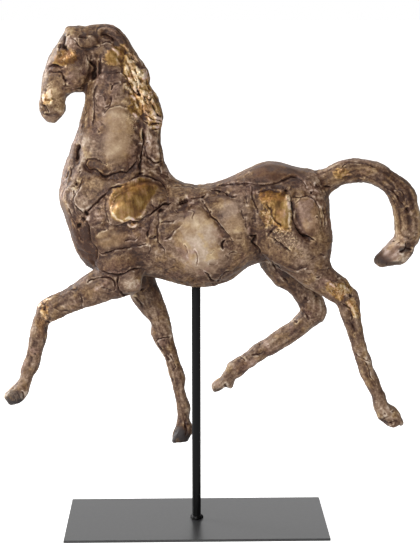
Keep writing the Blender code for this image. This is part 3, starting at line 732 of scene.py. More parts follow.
# Forms that stand out: height in millimetres, half width in pixels, and the route in pixels
swells = {
    "ear": (1.3, 4.5, ((84, 42), (93, 42))),
    "ear roll": (1.2, 2.2, ((80, 32), (92, 31), (100, 32))),
    "forelock": (1.2, 4.0, ((69.5, 33), (69, 44))),
    "brow": (1.3, 5.0, ((58, 58), (68, 58))),
    "eye": (0.9, 3.0, ((55, 69.3), (59, 69.5))),
    "cheek": (1.4, 9.0, ((76, 77), (78, 80))),
    "nostril": (0.9, 3.0, ((46, 102), (50, 107))),
    "chin": (0.8, 3.0, ((61, 111), (63, 113))),
    "throat knot": (0.8, 5.0, ((100, 100), (101, 102))),
    "neck pad": (1.2, 13.0, ((117, 120), (117, 145), (114, 160))),
    "neck front": (0.8, 4.0, ((84, 142), (84, 156))),
    "brown oval": (0.9, 5.0, ((91, 165), (101, 170))),
    "porous patch": (1.1, 10.0, ((90, 188), (86, 200))),
    "shoulder pad": (1.5, 14.0, ((124, 204), (140, 198))),
    "button": (1.3, 3.0, ((155, 203), (156, 203.5))),
    "upper slab": (0.9, 7.0, ((104, 240), (118, 238))),
    "lower slab": (0.9, 7.0, ((110, 262), (124, 262))),
    "lens": (1.0, 3.2, ((153, 226), (152.5, 234))),
    "back ridge": (1.0, 1.8, ((188, 204), (198, 200), (208, 195))),
    "rib pad": (0.9, 17.0, ((196, 232), (200, 254))),
    "rear rib pad": (0.8, 12.0, ((226, 212), (232, 224))),
    "rib ridge": (0.8, 1.6, ((211, 219), (217, 227))),
    "croup": (0.8, 9.0, ((262, 172), (290, 172))),
    "hip": (1.3, 10.0, ((272, 208), (279, 216))),
    "rump pad": (0.9, 9.0, ((306, 210), (308, 224))),
    "stifle": (0.9, 10.0, ((284, 256), (300, 256))),
}
near_leg_swells = {
    "elbow": (1.0, 7.0, ((131, 281), (132, 282))),
    "knee": (1.0, 6.0, ((42, 310), (46, 314))),
    "hock": (0.9, 5.0, ((345, 288), (352, 305))),
}

# The angles of the hoofs: depth in millimetres, half width in pixels, and the route in pixels
near_hoof_facets = (
    (2.4, 3.0, ((391, 403), (397, 406.5))), (-2.0, 2.6, ((391.5, 425.5), (392.5, 426))),
    (1.6, 2.4, ((398, 428), (400, 427))), (-2.2, 2.0, ((403, 423.5), (403.5, 424))),
    (1.0, 2.2, ((403, 413), (404, 417))), (1.3, 1.6, ((385, 423), (386.5, 423))),
    (-1.6, 2.4, ((3.6, 395.5), (4, 396.5))), (0.9, 2.2, ((5, 401), (6, 402.5))),
    (0.8, 2.6, ((23, 403), (26, 401))),
)
far_hoof_facets = (
    (1.5, 2.8, ((173, 430), (173, 432))), (-1.8, 2.4, ((172.5, 441), (173.5, 442))),
    (1.2, 2.6, ((178, 444), (183, 444))), (1.0, 2.0, ((190, 440), (191, 438))),
    (-0.8, 2.2, ((192, 433), (192, 434))), (0.8, 2.2, ((227, 390), (228, 391))),
)

# Colour patches: half width in pixels, strength, and the route in pixels
patches = {
    "gilt": (
        (2.6, 0.9, ((50, 92), (50, 97), (50, 102))), (3.0, 0.75, ((45, 96), (44.5, 102))),
        (7.5, 1.0, ((126, 62), (131, 72), (136, 82), (140, 92))),
        (6.0, 1.0, ((143, 76), (147, 88), (152, 96))),
        (8.0, 1.0, ((148, 96), (153, 110), (155, 122))), (1.8, 1.0, ((142, 132), (142.3, 138))),
        (4.0, 0.8, ((131, 108), (136, 113))), (6.0, 1.0, ((134, 95), (139, 109))),
        (3.0, 0.6, ((133, 224), (134, 229))), (5.5, 0.7, ((338, 173), (346, 174))),
    ),
    "cream_and_painted_highlight": (
        (7.0, 0.4, ((170, 191), (186, 192), (206, 193))), (5.0, 0.5, ((168, 169), (178, 176))),
        (5.0, 0.4, ((150, 163), (158, 172))),
        # A painted highlight down the front edge of the neck
        (3.2, 0.2, ((74, 138), (67, 158), (63, 175), (61, 196))),
        # The belly's pale middle, cream and a painted highlight together
        (20.0, 0.8, ((199, 232), (203, 252))), (12.0, 0.9, ((198, 242), (199, 256))),
        (4.0, 0.7, ((50, 84), (56, 96))), (9.0, 0.6, ((228, 208), (234, 226))),
        (8.0, 0.35, ((176, 214), (172, 240))), (10.0, 0.3, ((282, 246), (300, 258))),
        (9.0, 0.35, ((306, 206), (310, 222))), (9.0, 0.4, ((92, 184), (88, 202))),
        (8.0, 0.7, ((148, 140), (152, 160))), (6.0, 0.85, ((88, 142), (85, 157))),
        # The thin strip down the front edge of the face is a painted highlight
        (7.0, 0.8, ((69, 35), (70, 45))), (2.2, 0.9, ((61, 36), (56.5, 49), (50, 62), (46, 76))),
        (7.0, 0.4, ((74, 181), (72, 193))), (10.0, 1.0, ((396, 240), (390, 250), (398, 256))),
        (3.0, 0.8, ((404, 258), (406, 261))), (14.0, 0.5, ((117, 115), (117, 145))),
        (3.0, 0.7, ((96, 214), (100, 220))), (8.0, 0.4, ((236, 224), (238, 238))),
        (5.0, 0.6, ((61, 101), (60, 108))),
    ),
    "umber_and_painted_shade": (
        (9.0, 0.8, ((384, 176), (404, 200), (408, 228))), (5.0, 0.7, ((62, 40), (60, 48))),
        (7.0, 0.7, ((86, 43), (98, 42))), (9.0, 0.9, ((96, 32), (118, 34))),
        (5.0, 0.8, ((112, 76), (108, 82))), (5.0, 0.5, ((52, 67), (60, 70))),
        (4.0, 0.5, ((80, 84), (86, 76))), (4.0, 0.7, ((138, 64), (144, 67))),
        (3.0, 0.8, ((146, 98), (149, 102))), (8.0, 0.9, ((60, 56), (76, 57))),
        (6.0, 0.6, ((142, 182), (152, 186))), (4.0, 0.6, ((120, 185), (132, 182))),
        (6.0, 1.0, ((262, 190), (282, 191))), (8.0, 0.45, ((268, 198), (276, 212))),
        (10.0, 1.0, ((76, 222), (85, 242), (90, 258))), (6.0, 0.8, ((91, 165), (101, 169))),
        # The patch along the underside of the belly is painted shade
        (6.0, 0.6, ((136, 253), (141, 262))), (6.0, 0.6, ((180, 277), (198, 279))),
        (7.0, 0.6, ((108, 33), (116, 38))), (4.0, 0.7, ((404, 205), (410, 222))),
        (5.0, 0.5, ((158, 206), (170, 202))),
    ),
    "mauve": (
        (4.0, 0.9, ((74, 138), (67, 158), (63, 175), (61, 196))),
        (9.0, 0.7, ((94, 216), (105, 208), (108, 198))), (9.0, 0.6, ((126, 236), (142, 234))),
        (9.0, 0.7, ((100, 78), (112, 80), (104, 100))), (9.0, 0.5, ((97, 112), (98, 132))),
        (11.0, 0.8, ((308, 206), (308, 226))), (6.0, 0.6, ((133, 150), (131, 164))),
        (8.0, 0.6, ((110, 270), (124, 268))), (8.0, 0.5, ((227, 184), (245, 190))),
        (6.0, 0.5, ((150, 142), (154, 156))), (6.0, 0.7, ((50, 68), (62, 70))),
        (6.0, 0.6, ((68, 74), (74, 84))), (5.0, 0.6, ((70, 41), (74, 47))),
        (6.0, 0.7, ((300, 180), (314, 190))), (9.0, 0.9, ((396, 240), (390, 254))),
    ),
    "ochre": (
        (13.0, 0.6, ((117, 114), (119, 140), (116, 162))), (9.0, 0.9, ((100, 240), (120, 236))),
        (8.0, 0.7, ((112, 262), (126, 262))), (10.0, 0.6, ((234, 226), (244, 256))),
        (7.0, 0.8, ((160, 190), (200, 190))), (10.0, 0.8, ((266, 244), (284, 258))),
        (5.0, 0.8, ((76, 84), (86, 80))), (7.0, 0.9, ((56, 74), (54, 90), (58, 104))),
        (8.0, 1.0, ((332, 178), (346, 172), (360, 172))), (6.0, 0.7, ((88, 84), (86, 120))),
        (5.0, 0.8, ((80, 31), (92, 32))), (6.0, 0.8, ((82, 42), (84, 43))),
        (9.0, 0.7, ((92, 190), (96, 182))), (10.0, 0.6, ((208, 214), (190, 226))),
        (9.0, 0.7, ((398, 200), (404, 222))), (5.0, 1.0, ((91, 165), (101, 169))),
        (8.0, 0.8, ((316, 226), (318, 248))),
    ),
    "amber": (
        (6.0, 0.8, ((66, 58), (76, 55))), (3.0, 0.6, ((45, 94), (45, 103))),
        (5.0, 0.8, ((128, 192), (144, 186))), (8.0, 0.7, ((262, 174), (290, 172))),
        (5.0, 0.8, ((264, 196), (280, 196))), (5.0, 0.8, ((90, 165), (101, 170))),
        (3.5, 0.8, ((136, 92), (140, 97))), (3.5, 0.8, ((143, 106), (144, 118))),
        (3.5, 0.7, ((146, 84), (149, 92))), (4.0, 0.6, ((124, 52), (134, 58))),
        (9.0, 0.9, ((76, 224), (84, 244), (91, 258))), (4.0, 0.7, ((276, 226), (286, 234))),
    ),
    "wash": (
        (9.0, 0.6, ((74, 222), (83, 242), (89, 258))), (10.0, 0.25, ((262, 172), (292, 172))),
        (6.0, 1.0, ((379, 257), (386, 260))), (3.0, 0.7, ((402, 250), (408, 249))),
    ),
    "glint": (
        (6.0, 0.7, ((130, 66), (138, 86), (146, 100), (154, 118))),
        (8.0, 0.85, ((280, 236), (290, 242))), (5.0, 0.8, ((264, 210), (270, 222))),
        (3.5, 0.7, ((128, 54), (134, 60))), (5.0, 0.6, ((130, 118), (134, 126))),
        (4.0, 0.7, ((150, 128), (160, 127))), (6.0, 0.6, ((140, 84), (150, 104))),
        (4.0, 0.5, ((114, 196), (112, 206))), (4.0, 0.4, ((46, 96), (50, 104))),
        (4.0, 0.5, ((62, 56), (74, 54))), (4.0, 0.3, ((96, 206), (108, 214))),
        (6.0, 0.3, ((292, 246), (304, 258))),
    ),
    "slate": (
        (5.0, 0.6, ((378, 259), (386, 262))), (2.4, 0.7, ((392, 264), (400, 263))),
        (2.6, 0.8, ((402, 250), (408, 249))),
    ),
    "calm": (
        (14.0, 0.9, ((117, 118), (117, 150))), (22.0, 0.9, ((198, 230), (201, 252))),
        (10.0, 0.8, ((264, 172), (294, 172))), (7.0, 0.6, ((394, 242), (388, 256))),
        (9.0, 0.7, ((104, 240), (118, 240))), (9.0, 0.6, ((306, 208), (308, 224))),
        (9.0, 0.6, ((228, 206), (236, 226))),
    ),
}
near_leg_patches = {
    "glint": (
        (6.0, 0.7, ((334, 288), (348, 290))), (4.5, 0.7, ((352, 304), (356, 314))),
        (5.0, 0.6, ((43, 302), (46, 316))),
    ),
    "gilt": (
        (5.0, 0.95, ((340, 288), (349, 289))), (5.5, 0.75, ((330, 287), (340, 296))),
        (5.0, 0.8, ((351, 303), (357, 313))), (4.0, 0.6, ((46, 302), (45, 312))),
    ),
    "cream_and_painted_highlight": (
        # The pale top left of the near fore hoof is a painted highlight
        (8.5, 0.9, ((131, 281), (131.5, 282))), (4.2, 0.85, ((5, 393), (11, 388))),
        (2.4, 0.6, ((27, 393), (26, 398))), (8.0, 0.6, ((380, 412), (394, 412))),
        (4.0, 0.6, ((391, 408), (396, 411))),
    ),
    "amber": (
        (3.0, 0.9, ((38, 312), (41, 318))), (5.5, 0.9, ((45, 312), (42, 334))),
        (5.0, 0.6, ((334, 290), (340, 298))), (4.0, 0.7, ((352, 306), (357, 312))),
    ),
    "slate": (
        (3.6, 1.0, ((7, 400), (13, 403), (20, 402))), (5.0, 0.6, ((12, 395), (20, 396))),
        (2.4, 0.6, ((380, 421), (384, 422))),
    ),
}
far_leg_patches = {
    "cream_and_painted_highlight": (
        (6.0, 0.55, ((213, 387), (222, 383))), (2.4, 0.7, ((230, 389), (231, 391))),
        (3.4, 0.8, ((321, 297), (322, 316))),
    ),
    "umber_and_painted_shade": (
        # Painted shade on the tops of the far legs, where they come out from behind the body
        (13.0, 0.85, ((140, 262), (152, 282))), (16.0, 0.8, ((262, 262), (292, 284))),
        (6.0, 0.7, ((304, 298), (300, 312))), (8.0, 0.8, ((182, 424), (187, 434))),
    ),
    "slate": ((9.0, 1.0, ((177, 436), (183, 438))), (2.6, 0.7, ((214, 391), (222, 390)))),
    "amber": ((3.5, 0.8, ((186, 427), (189, 434))),),
}

# The same for patches with a shape of their own: how far the edge fades, strength, and the outline
brow_outline = ((54, 58), (60, 52), (68, 50), (76, 51), (78, 58), (74, 64), (64, 64), (56, 64))
poll_outline = ((106, 50), (114, 46), (124, 47), (126, 56), (122, 63), (112, 63), (105, 58))
outlines = {
    "gilt": (
        (2.6, 1.0, (
            (110, 209), (109.5, 200), (113, 192), (119, 187), (127, 183.5), (136, 180), (146, 179),
            (154, 183), (156, 190), (152, 197), (148, 204), (145, 212), (138, 217), (130, 221),
            (122, 222.5), (114, 220))),
        (4.5, 1.0, (
            (259, 192), (267, 190), (276, 190), (284, 193), (289, 199), (292, 206), (292, 216),
            (291, 226), (288, 231), (280, 230), (273, 228), (266, 225), (260, 214), (258, 202))),
        (4.0, 0.9, brow_outline),
        (4.5, 0.9, poll_outline),
    ),
    "umber_and_painted_shade": (
        (4.0, 0.9, (
            (258, 166), (270, 163), (290, 164), (300, 170), (300, 178), (284, 183), (262, 183),
            (254, 176))),
    ),
    "calm": (
        (3.0, 1.0, (
            (109, 211), (108, 199), (112, 190), (120, 184), (136, 178), (152, 179), (158, 190),
            (150, 205), (145, 214), (130, 221), (114, 222))),
        (3.0, 0.8, brow_outline),
        (3.0, 0.8, poll_outline),
        (3.0, 0.9, (
            (276, 196), (284, 196), (289, 206), (290, 224), (284, 228), (279, 220), (275, 206))),
    ),
}

# Ridges that carry a painted highlight: half width in pixels, and the route in pixels
highlight_ridges = (
    (1.1, ((111, 208), (112.5, 213), (115.5, 217))), (1.3, ((117, 219), (122, 221))),
    (1.2, ((124.5, 219), (129, 217.5), (133, 219))), (1.3, ((138, 217), (142, 214.5), (145, 210))),
    (0.9, ((128, 225), (133, 228), (137, 225))), (3.4, ((287, 198), (288.5, 203), (290, 208))),
    (1.5, ((289.6, 214), (289.4, 222), (290, 229))),
    (1.0, ((276, 231), (283, 231.5), (290, 230.5))), (1.2, ((49.5, 90), (50.5, 95))),
    (1.6, ((51, 97), (51, 103))), (1.2, ((43.5, 97), (43.7, 100))),
    (2.4, ((127, 66), (126, 72), (129, 78), (132, 84))), (2.4, ((131, 80), (134, 85), (135, 89))),
    (2.2, ((125.5, 85), (127, 88))), (1.2, ((130, 90), (132.3, 95.5))),
    (1.1, ((129, 53), (131, 55))), (1.2, ((134, 56), (136, 60))), (1.0, ((128, 60), (133, 62))),
    (1.8, ((137.5, 68), (138.5, 71))), (2.8, ((141.5, 73), (144.5, 78))),
    (2.2, ((142.5, 84), (144.5, 88.5))), (1.3, ((131.5, 69), (135, 77), (138, 85), (139, 91))),
    (1.5, ((137, 67), (141, 75), (145, 82))), (4.0, ((150, 98), (157, 118))),
    (1.4, ((142, 94), (147, 92.6), (152, 95.5))), (1.2, ((146, 112), (152, 115.5), (158, 118.5))),
    (1.0, ((134, 98), (137, 106))), (1.2, ((155, 92), (158, 98))),
    (1.1, ((142, 96.5), (146, 94), (150, 92.5), (153.5, 94))), (1.0, ((142, 101), (143.5, 104))),
    (2.2, ((149.5, 106), (151.5, 111), (155, 115), (159, 119))),
    (1.0, ((145.5, 116.5), (150, 119.2), (157, 121.5))),
    (1.0, ((150, 127.5), (154, 126.5), (158, 128))), (1.3, ((133.5, 113.5), (136, 116))),
    (1.4, ((141.6, 130), (142, 138))), (1.2, ((114, 49), (118, 54), (117, 60))),
    (1.2, ((65, 65), (65.5, 69))), (1.1, ((72, 53), (73.5, 55))),
)
near_leg_highlight_ridges = (
    (1.8, ((340.5, 286), (345, 287.5), (349.5, 291))), (1.3, ((347, 302), (352, 307))),
    (1.2, ((353, 309), (356.5, 315))), (1.1, ((330, 284), (337, 288))),
    (1.2, ((40, 306), (46, 300), (50, 299))), (1.1, ((42, 312), (46, 318))),
)

# Hair and sinew: half width, height in millimetres, how drawn out, size in pixels, and the route
body_fibres = {
    "neck front": (11, 0.7, 6.0, 4.5, ((92, 62), (90, 90), (86, 120), (82, 150), (72, 180))),
    "breast": (12, 0.7, 6.0, 5.0, ((68, 195), (76, 220), (86, 250))),
    "mane": (14, 1.7, 4.5, 6.0, (
        (106, 34), (124, 46), (134, 68), (142, 90), (152, 112), (154, 140), (152, 160))),
    "tail": (18, 1.0, 5.0, 6.0, (
        (320, 186), (340, 174), (362, 169), (384, 176), (400, 192), (408, 212), (409, 228))),
}
near_leg_fibres = {
    "near fore leg": (15, 0.45, 4.0, 5.0, (
        (110, 268), (86, 284), (60, 298), (45, 309), (38, 330), (32, 355), (22, 380), (11, 398))),
    "near hind leg": (20, 0.5, 4.0, 5.5, (
        (296, 238), (322, 272), (344, 293), (353, 328), (362, 362), (374, 396), (390, 420))),
}
far_leg_fibres = {
    "far fore leg": (17, 0.6, 4.0, 5.5, (
        (138, 270), (148, 300), (160, 336), (169, 370), (177, 405), (181, 438))),
    "far hind leg": (19, 0.6, 4.0, 5.5, (
        (282, 262), (308, 300), (297, 324), (262, 349), (236, 369), (216, 386))),
}

# The cast itself: one fine skin over the solid, and all of the above laid on it
millimetre = 0.001
slab_size = 0.024
ridge_height = 0.35
strongest_ridge_highlight = 0.95
ridge_highlight_strength = 2.2
socket_foot = belly_line - 0.01

cad_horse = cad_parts["horse"]
block = new_object("horse_block", cad_horse.data.copy())
recast = block.modifiers.new("one skin", "REMESH")
recast.mode = "VOXEL"
recast.voxel_size = skin_grain
soften = block.modifiers.new("no facets", "SMOOTH")
soften.factor = 0.5
soften.iterations = skin_softening
cast = mesh_of(block)
bpy.data.objects.remove(block)

skin = Skin(cast)

for cracks in (head_cracks, neck_cracks, shoulder_cracks, rib_cracks, hip_cracks, hair_cracks):
    for depth, half_width, route, *lap in cracks.values():
        skin.crack(skin.body, route, depth, half_width, *lap)
for aspect, cracks in ((skin.near, near_leg_cracks), (skin.far, far_leg_cracks)):
    for depth, half_width, route in cracks.values():
        skin.crack(aspect, route, depth, half_width)
for aspect, ridges in ((skin.body, swells), (skin.near, near_leg_swells)):
    for height, half_width, route in ridges.values():
        skin.swell(aspect, route, height, half_width)
for aspect, facets in ((skin.near, near_hoof_facets), (skin.far, far_hoof_facets)):
    for depth, half_width, route in facets:
        skin.press(aspect, route, depth, half_width)
for aspect, group in ((skin.body, patches), (skin.near, near_leg_patches), (skin.far, far_leg_patches)):
    for colour, rows in group.items():
        for half_width, strength, route in rows:
            skin.tint(aspect, colour, route, half_width, strength)
for colour, rows in outlines.items():
    for soft, strength, outline in rows:
        skin.fill(skin.body, colour, outline, soft, strength)
for aspect, ridges in ((skin.body, highlight_ridges), (skin.near, near_leg_highlight_ridges)):
    for half_width, route in ridges:
        skin.swell(aspect, route, ridge_height, half_width)
        strength = min(strongest_ridge_highlight, ridge_highlight_strength / half_width)
        # A painted highlight along the ridge, stronger on narrow ridges
        skin.tint(aspect, "painted_highlight", route, half_width, strength)
for aspect, group in ((skin.body, body_fibres), (skin.near, near_leg_fibres), (skin.far, far_leg_fibres)):
    for half_width, height, stretch, size, route in group.values():
        skin.fibres(aspect, route, half_width, height, stretch, size)

# Finer relief of the clay: the edges of slabs, and lumps
points = skin.points
calm = skin.colours["calm"]
warped = points + 0.005 * np.stack([rough(points, 0.014, 2, seed) for seed in (11, 21, 31)], axis=1)
in_places = smoothstep(0.2, 0.5, lumps(points, 0.03, 60)) * (1.0 - calm) * (1.0 - skin.along_limb)
slab_crack = 1.0 - smoothstep(0.0, 0.0015, slab_edges(warped, slab_size, 50))
slab_crack = slab_crack * in_places * skin.uneven
skin.height -= 0.7 * slab_crack
skin.height += 0.7 * rough(points, 0.018, 2, 70)
skin.height += 0.9 * skin.along_limb * rough(points, 0.011, 2, 150)

# Folds of the clay run up and down in some places and slant in others
fold_directions = ((0.15, 0, 1), (0.75, 0, 0.65), (-0.8, 0, 0.6), (1, 0, 0.1))
region = rough(points, 0.045, 2, 120)
folds = np.zeros(len(points))
strokes = np.zeros(len(points))
for index, direction in enumerate(fold_directions):
    share = bell(region - (-0.45 + 0.3 * index), 0.2)
    squeezed = drawn_out(warped, direction, 3.2)
    folds += share * (creased(squeezed, 0.0065, 3, 130 + index) - 0.5)
    strokes += share * rough(squeezed, 0.0048, 3, 140 + index)
loose = (1.0 - 0.85 * calm) * (1.0 - 0.6 * skin.along_limb)
skin.height += 0.9 * loose * folds
skin.height += (1.0 - 0.8 * calm) * 0.75 * rough(points, 0.0065, 3, 80)

# Crumpled leaf, and pores in some places
leaf = skin.colours["gilt"] * (1.0 - calm)
skin.height += 1.1 * leaf * (creased(points, 0.0062, 2, 85) - 0.5)
pore_patch = smoothstep(0.05, 0.5, lumps(points, 0.022, 97)) * (1.0 - calm)
skin.height -= 0.7 * pore_patch * smoothstep(0.5, 0.85, lumps(points, 0.0030, 95))

# The socket for the rod stays as it is in the solid, and nothing passes the solids' own box
z = points[:, 2]
in_socket = np.hypot(points[:, 0], points[:, 1]) < socket_surround
in_socket &= (z > socket_foot) & (z < socket_end)
skin.height[in_socket] = 0.0
skin.cut[in_socket] = 0.0
moved = points + skin.normals * ((skin.height - skin.cut) * millimetre)[:, None]
reach_from_rod = np.hypot(moved[:, 0], moved[:, 1])
tight = in_socket & (reach_from_rod < socket_radius)
moved[tight, :2] *= (socket_radius / np.maximum(reach_from_rod[tight], 1e-5))[:, None]
moved = np.clip(moved, np.array(cad_box[0]), np.array(cad_box[1]))
cast.vertices.foreach_set("co", moved.reshape(-1))
cast.update()

ends = read(cast.edges, "vertices", 2).astype(np.int64)
links = np.bincount(ends.reshape(-1), minlength=len(moved))


def averaged(values, rounds):
    """Values smoothed over the mesh, each point taking the mean of its neighbours."""
    for _ in range(rounds):
        total = np.bincount(ends[:, 0], weights=values[ends[:, 1]], minlength=len(values))
        total += np.bincount(ends[:, 1], weights=values[ends[:, 0]], minlength=len(values))
        values = 0.5 * values + 0.5 * total / np.maximum(links, 1)
    return values


def hollowness(rounds):
    """How far, in millimetres, each point lies under the skin averaged that many times."""
    level = np.stack([averaged(moved[:, axis], rounds) for axis in range(3)], axis=1)
    return ((level - moved) * skin.normals).sum(axis=1) / millimetre


colours = skin.colours
# How far each point lies in a hollow, for the brown wash and the painted shade that gather there
colours["hollow"] = np.clip(0.5 + 0.5 * hollowness(30) + 1.4 * hollowness(4), 0.0, 1.0)
strokes += skin.along_limb * (skin.strand - strokes)
colours["strokes"] = np.clip(0.5 + 0.5 * strokes, 0.0, 1.0)
colours["gap"] = np.minimum(skin.gap, far_gap)
colours["wash"] = np.clip(colours["wash"] + 0.3 * slab_crack, 0.0, 1.0)
for name, values in colours.items():
    cast.attributes.new(name, "FLOAT", "POINT").data.foreach_set("value", values.astype(np.float32))

dense = new_object("horse_dense", cast)
cast.calc_loop_triangles()
fewer = dense.modifiers.new("fewer faces", "DECIMATE")
fewer.ratio = horse_faces / len(cast.loop_triangles)
fewer.use_collapse_triangulate = True
horse_mesh = mesh_of(dense)
bpy.data.objects.remove(dense)
horse_mesh.name = "horse_cast"
horse = new_object("horse_cast", horse_mesh)
horse_mesh.shade_smooth()


class Paint(Nodes):
    """A material, its shader, and the noises, masks and colours that feed it."""

    def __init__(self, name):
        self.material = bpy.data.materials.new(name)
        super().__init__(self.material)
        self.shader = self.nodes["Principled BSDF"]

    def give(self, name, value):
        self.put(self.shader.inputs[name], value)

    def coat(self, mesh):
        """This paint in place of whatever the mesh carried."""
        mesh.materials.clear()
        mesh.materials.append(self.material)

    def mask(self, name):
        return self.node("ShaderNodeAttribute", {}, attribute_name=name)["Fac"]

    def place(self):
        return self.node("ShaderNodeTexCoord", {})["Object"]

    def squeezed(self, squeeze):
        """The place with each axis scaled by its own share, so that noise there is drawn out."""
        return self.node("ShaderNodeVectorMath", {0: self.place(), 1: squeeze}, operation="MULTIPLY")[0]

    def noise(self, scale, detail=3.0, roughness=0.6, place=None, kind="FBM", distortion=0.0):
        sockets = {
            "Vector": place or self.place(), "Scale": scale, "Detail": detail,
            "Roughness": roughness, "Distortion": distortion,
        }
        return self.node("ShaderNodeTexNoise", sockets, noise_type=kind)["Fac"]

    def shift(self, base, *rows):
        """The base moved by each value in turn: how much, and the value that moves nothing."""
        for value, amount, centre in rows:
            sockets = {0: value, 1: amount, 2: -centre * amount}
            change = self.node("ShaderNodeMath", sockets, operation="MULTIPLY_ADD")[0]
            base = self.node("ShaderNodeMath", {0: base, 1: change}, operation="ADD")[0]
        return base

    def shades(self, value, stops):
        """A run of colours, each at its own place from 0 to 1."""
        node = self.nodes.new("ShaderNodeValToRGB")
        run = node.color_ramp.elements
        for index, (place, colour) in enumerate(stops):
            stop = run[index] if index < 2 else run.new(place)
            stop.position = place
            stop.color = (*colour, 1.0)
        self.put(node.inputs["Fac"], value)
        return node.outputs["Color"]

    def blend(self, share, first, second, kind="MIX"):
        sockets = {0: share, 6: first, 7: second}
        return self.node("ShaderNodeMix", sockets, data_type="RGBA", blend_type=kind)[2]

    def bump(self, height, strength, distance, **normal):
        sockets = {"Height": height, "Strength": strength, "Distance": distance, **normal}
        return self.node("ShaderNodeBump", sockets)["Normal"]


resin_shades = (
    (0.0, (0.046, 0.020, 0.012)), (0.22, (0.112, 0.056, 0.033)), (0.42, (0.210, 0.126, 0.075)),
    (0.62, (0.34, 0.225, 0.148)), (0.82, (0.52, 0.395, 0.29)), (1.0, (0.70, 0.57, 0.45)),
)
gold_shades = (
    (0.0, (0.060, 0.026, 0.014)), (0.3, (0.18, 0.090, 0.030)), (0.5, (0.33, 0.18, 0.050)),
    (0.72, (0.56, 0.35, 0.14)), (0.88, (0.82, 0.59, 0.35)), (1.0, (0.96, 0.78, 0.54)),
)
mauve_tint = (1.02, 0.92, 1.10)
amber_tint = (0.96, 0.80, 0.58)
ochre_tint = (1.06, 0.98, 0.66)
brush_draw = (1.0, 1.0, 0.16)
rose_tint = (1.0, 0.93, 1.18)
glint_cream = (0.78, 0.57, 0.34)
rust_wash = (0.075, 0.033, 0.022)
crack_brown = (0.018, 0.009, 0.006)
slate_wash = (0.032, 0.024, 0.023)

resin = Paint("antiqued_resin")
broad = resin.noise(30.0)
mottle = resin.noise(85.0, 4.0, 0.65)
grit = resin.noise(1500.0, 2.0)
hollow_here = resin.mask("hollow")
wash_here = resin.mask("wash")
strokes_here = resin.mask("strokes")
umber_and_painted_shade_here = resin.mask("umber_and_painted_shade")

# The calm parts of the skin carry less of the dabs, the speckle and the wrinkles
still = resin.times(resin.mask("calm"), 0.7)
dabs = resin.between(still, resin.noise(190.0), 0.5)
speckle = resin.between(still, resin.noise(430.0, 4.0, 0.65), 0.5)
wrinkled = resin.noise(110.0, 4.0, 0.55, kind="RIDGED_MULTIFRACTAL", distortion=0.6)
wrinkles = resin.between(still, resin.ramp(wrinkled, 0.0, 1.3), 0.5)

# The dark in a crack, brown wash and painted shade together, and the pale lip of the pad beside it
gap_here = resin.shift(resin.mask("gap"), (speckle, 2.2, 0.5), (grit, 1.0, 0.5))
stain_and_painted_shade_here = resin.ramp(gap_here, 1.5, 0.95)
lip_here = resin.times(resin.ramp(gap_here, 1.7, 2.3), resin.ramp(gap_here, 4.2, 2.9))
lip_here = resin.times(lip_here, resin.ramp(dabs, 0.4, 0.6))

# The resin's brown, from dark to cream; it darkens in the hollows with brown wash and painted shade, and
# on the pads with painted shade towards the cracks
value = resin.shift(
    0.50,
    (broad, 0.35, 0.5),
    (mottle, 0.42, 0.5),
    (dabs, 0.5, 0.5),
    (speckle, 1.15, 0.5),
    (strokes_here, 0.5, 0.5),
    (hollow_here, -0.6, 0.45),
    (resin.mask("cream_and_painted_highlight"), 0.33, 0.0),
    (lip_here, 0.42, 0.0),
    (wrinkles, 0.34, 0.5),
    (umber_and_painted_shade_here, -0.22, 0.0),
    (wash_here, -0.12, 0.0),
    (resin.mask("shade"), -0.20, 0.15),
)
tone = resin.shades(value, resin_shades)

# Ochre and purple-grey washed over it in patches, then rust and slate
ochre_patches = resin.maths("ADD", resin.ramp(resin.noise(62.0), 0.5, 0.62), resin.mask("ochre"))
tone = resin.blend(resin.times(ochre_patches, 0.68), tone, ochre_tint, "MULTIPLY")
mauve_patches = resin.maths("ADD", resin.ramp(resin.noise(48.0), 0.56, 0.68), resin.mask("mauve"))
tone = resin.blend(resin.times(mauve_patches, 0.55), tone, mauve_tint, "MULTIPLY")
washed = resin.times(wash_here, resin.ramp(speckle, 0.25, 0.7))
tone = resin.blend(resin.times(washed, 0.7), tone, rust_wash)
slate_here = resin.times(resin.mask("slate"), resin.ramp(mottle, 0.2, 0.5))
tone = resin.blend(slate_here, tone, slate_wash)

# Gold leaf, frayed at its edge, with brush marks in it, darker in its hollows, and with painted
# highlights on the ridges
leaf_edge = resin.shift(
    resin.mask("gilt"), (speckle, 1.2, 0.5), (dabs, 0.8, 0.5), (hollow_here, -0.4, 0.5)
)
painted_highlight_here = resin.times(resin.mask("painted_highlight"), resin.ramp(speckle, 0.3, 0.55))
leaf_here = resin.maths("MAXIMUM", resin.ramp(leaf_edge, 0.35, 0.75), resin.times(painted_highlight_here, 0.9))
brush = resin.noise(230.0, place=resin.squeezed(brush_draw))
shine = resin.shift(
    0.52,
    (mottle, 0.35, 0.5),
    (resin.between(resin.mask("calm"), 0.5, brush), 1.1, 0.5),
    (speckle, 1.0, 0.5),
    (dabs, 0.9, 0.5),
    (hollow_here, -0.6, 0.45),
    (umber_and_painted_shade_here, -0.28, 0.0),
    (strokes_here, 0.5, 0.5),
    # painted highlight on the ridges of the leaf
    (resin.mask("painted_highlight"), 0.36, 0.0),
)
leaf_tone = resin.shades(shine, gold_shades)
rose_here = resin.ramp(resin.noise(110.0, 3.0, 0.55), 0.45, 0.6)
leaf_tone = resin.blend(rose_here, leaf_tone, rose_tint, "MULTIPLY")
tone = resin.blend(leaf_here, tone, leaf_tone)
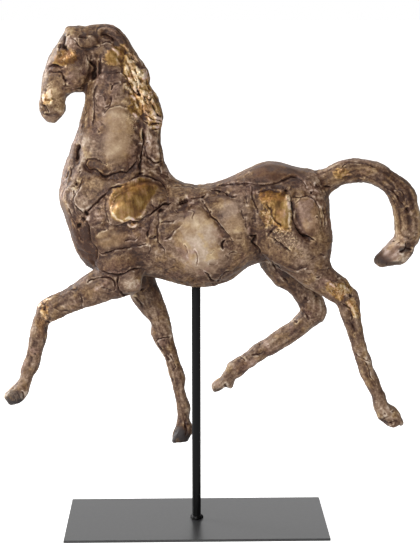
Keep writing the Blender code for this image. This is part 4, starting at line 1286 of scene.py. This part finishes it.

# Amber glaze in places, a scatter of painted glints, and the dark of the cracks, brown wash and painted
# shade, over everything
amber_here = resin.times(resin.mask("amber"), resin.ramp(mottle, 0.3, 0.55))
tone = resin.blend(amber_here, tone, amber_tint, "MULTIPLY")
glint_specks = resin.ramp(resin.shift(resin.noise(650.0, 2.0), (dabs, 0.5, 0.5)), 0.54, 0.64)
tone = resin.blend(resin.times(resin.mask("glint"), glint_specks), tone, glint_cream)
crack_shade = resin.blend(resin.ramp(gap_here, 0.65, 1.25), crack_brown, rust_wash)
tone = resin.blend(stain_and_painted_shade_here, tone, crack_shade)
resin.give("Base Color", tone)

# The leaf is half metal and smoother, and the dark in the cracks is dull
clean_leaf = resin.times(leaf_here, resin.maths("SUBTRACT", 1.0, stain_and_painted_shade_here))
dull = resin.between(resin.ramp(speckle, 0.3, 0.7), 0.30, 0.55)
fine = resin.bump(wrinkles, 0.8, 0.0011, Normal=resin.bump(speckle, 0.8, 0.0011))
resin.give("Metallic", resin.times(clean_leaf, 0.55))
resin.give("Roughness", resin.between(clean_leaf, dull, 0.34))
resin.give("Specular IOR Level", resin.between(stain_and_painted_shade_here, 0.38, 0.1))
resin.give("Normal", resin.bump(grit, 0.35, 0.0002, Normal=fine))
resin.coat(horse_mesh)

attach(horse, "root")
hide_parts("horse")


# The rod. A plain round bar of mild steel, bonded into the horse's belly and welded to the
# plate with a lumpy bead, then brushed with satin black paint.
rod_black = (0.005, 0.005, 0.0054)

rod_paint = Paint("rod_black_paint")
brush_marks = rod_paint.noise(900.0, 3.0, 0.55)
rod_paint.give("Base Color", rod_black)
rod_paint.give("Specular IOR Level", 0.18)
rod_paint.give("Roughness", rod_paint.between(brush_marks, 0.24, 0.36))
rod_paint.give("Normal", rod_paint.bump(brush_marks, 0.25, 0.0002))
rod_paint.coat(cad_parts["stand_rod"].data)


# The plate. A rectangle of 3 mm steel sheet with its edges broken by a file, in the same
# satin black paint, laid on smoother than on the rod so that it mirrors the white room dimly.
plate_black = (0.028, 0.028, 0.029)

plate_paint = Paint("plate_black_paint")
rolled = plate_paint.noise(260.0, 4.0, 0.55)
plate_paint.give("Base Color", plate_black)
plate_paint.give("Specular IOR Level", 1.0)
plate_paint.give("Roughness", plate_paint.between(rolled, 0.26, 0.36))
plate_paint.give("Normal", plate_paint.bump(rolled, 0.12, 0.0001))
plate_paint.coat(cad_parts["base_plate"].data)
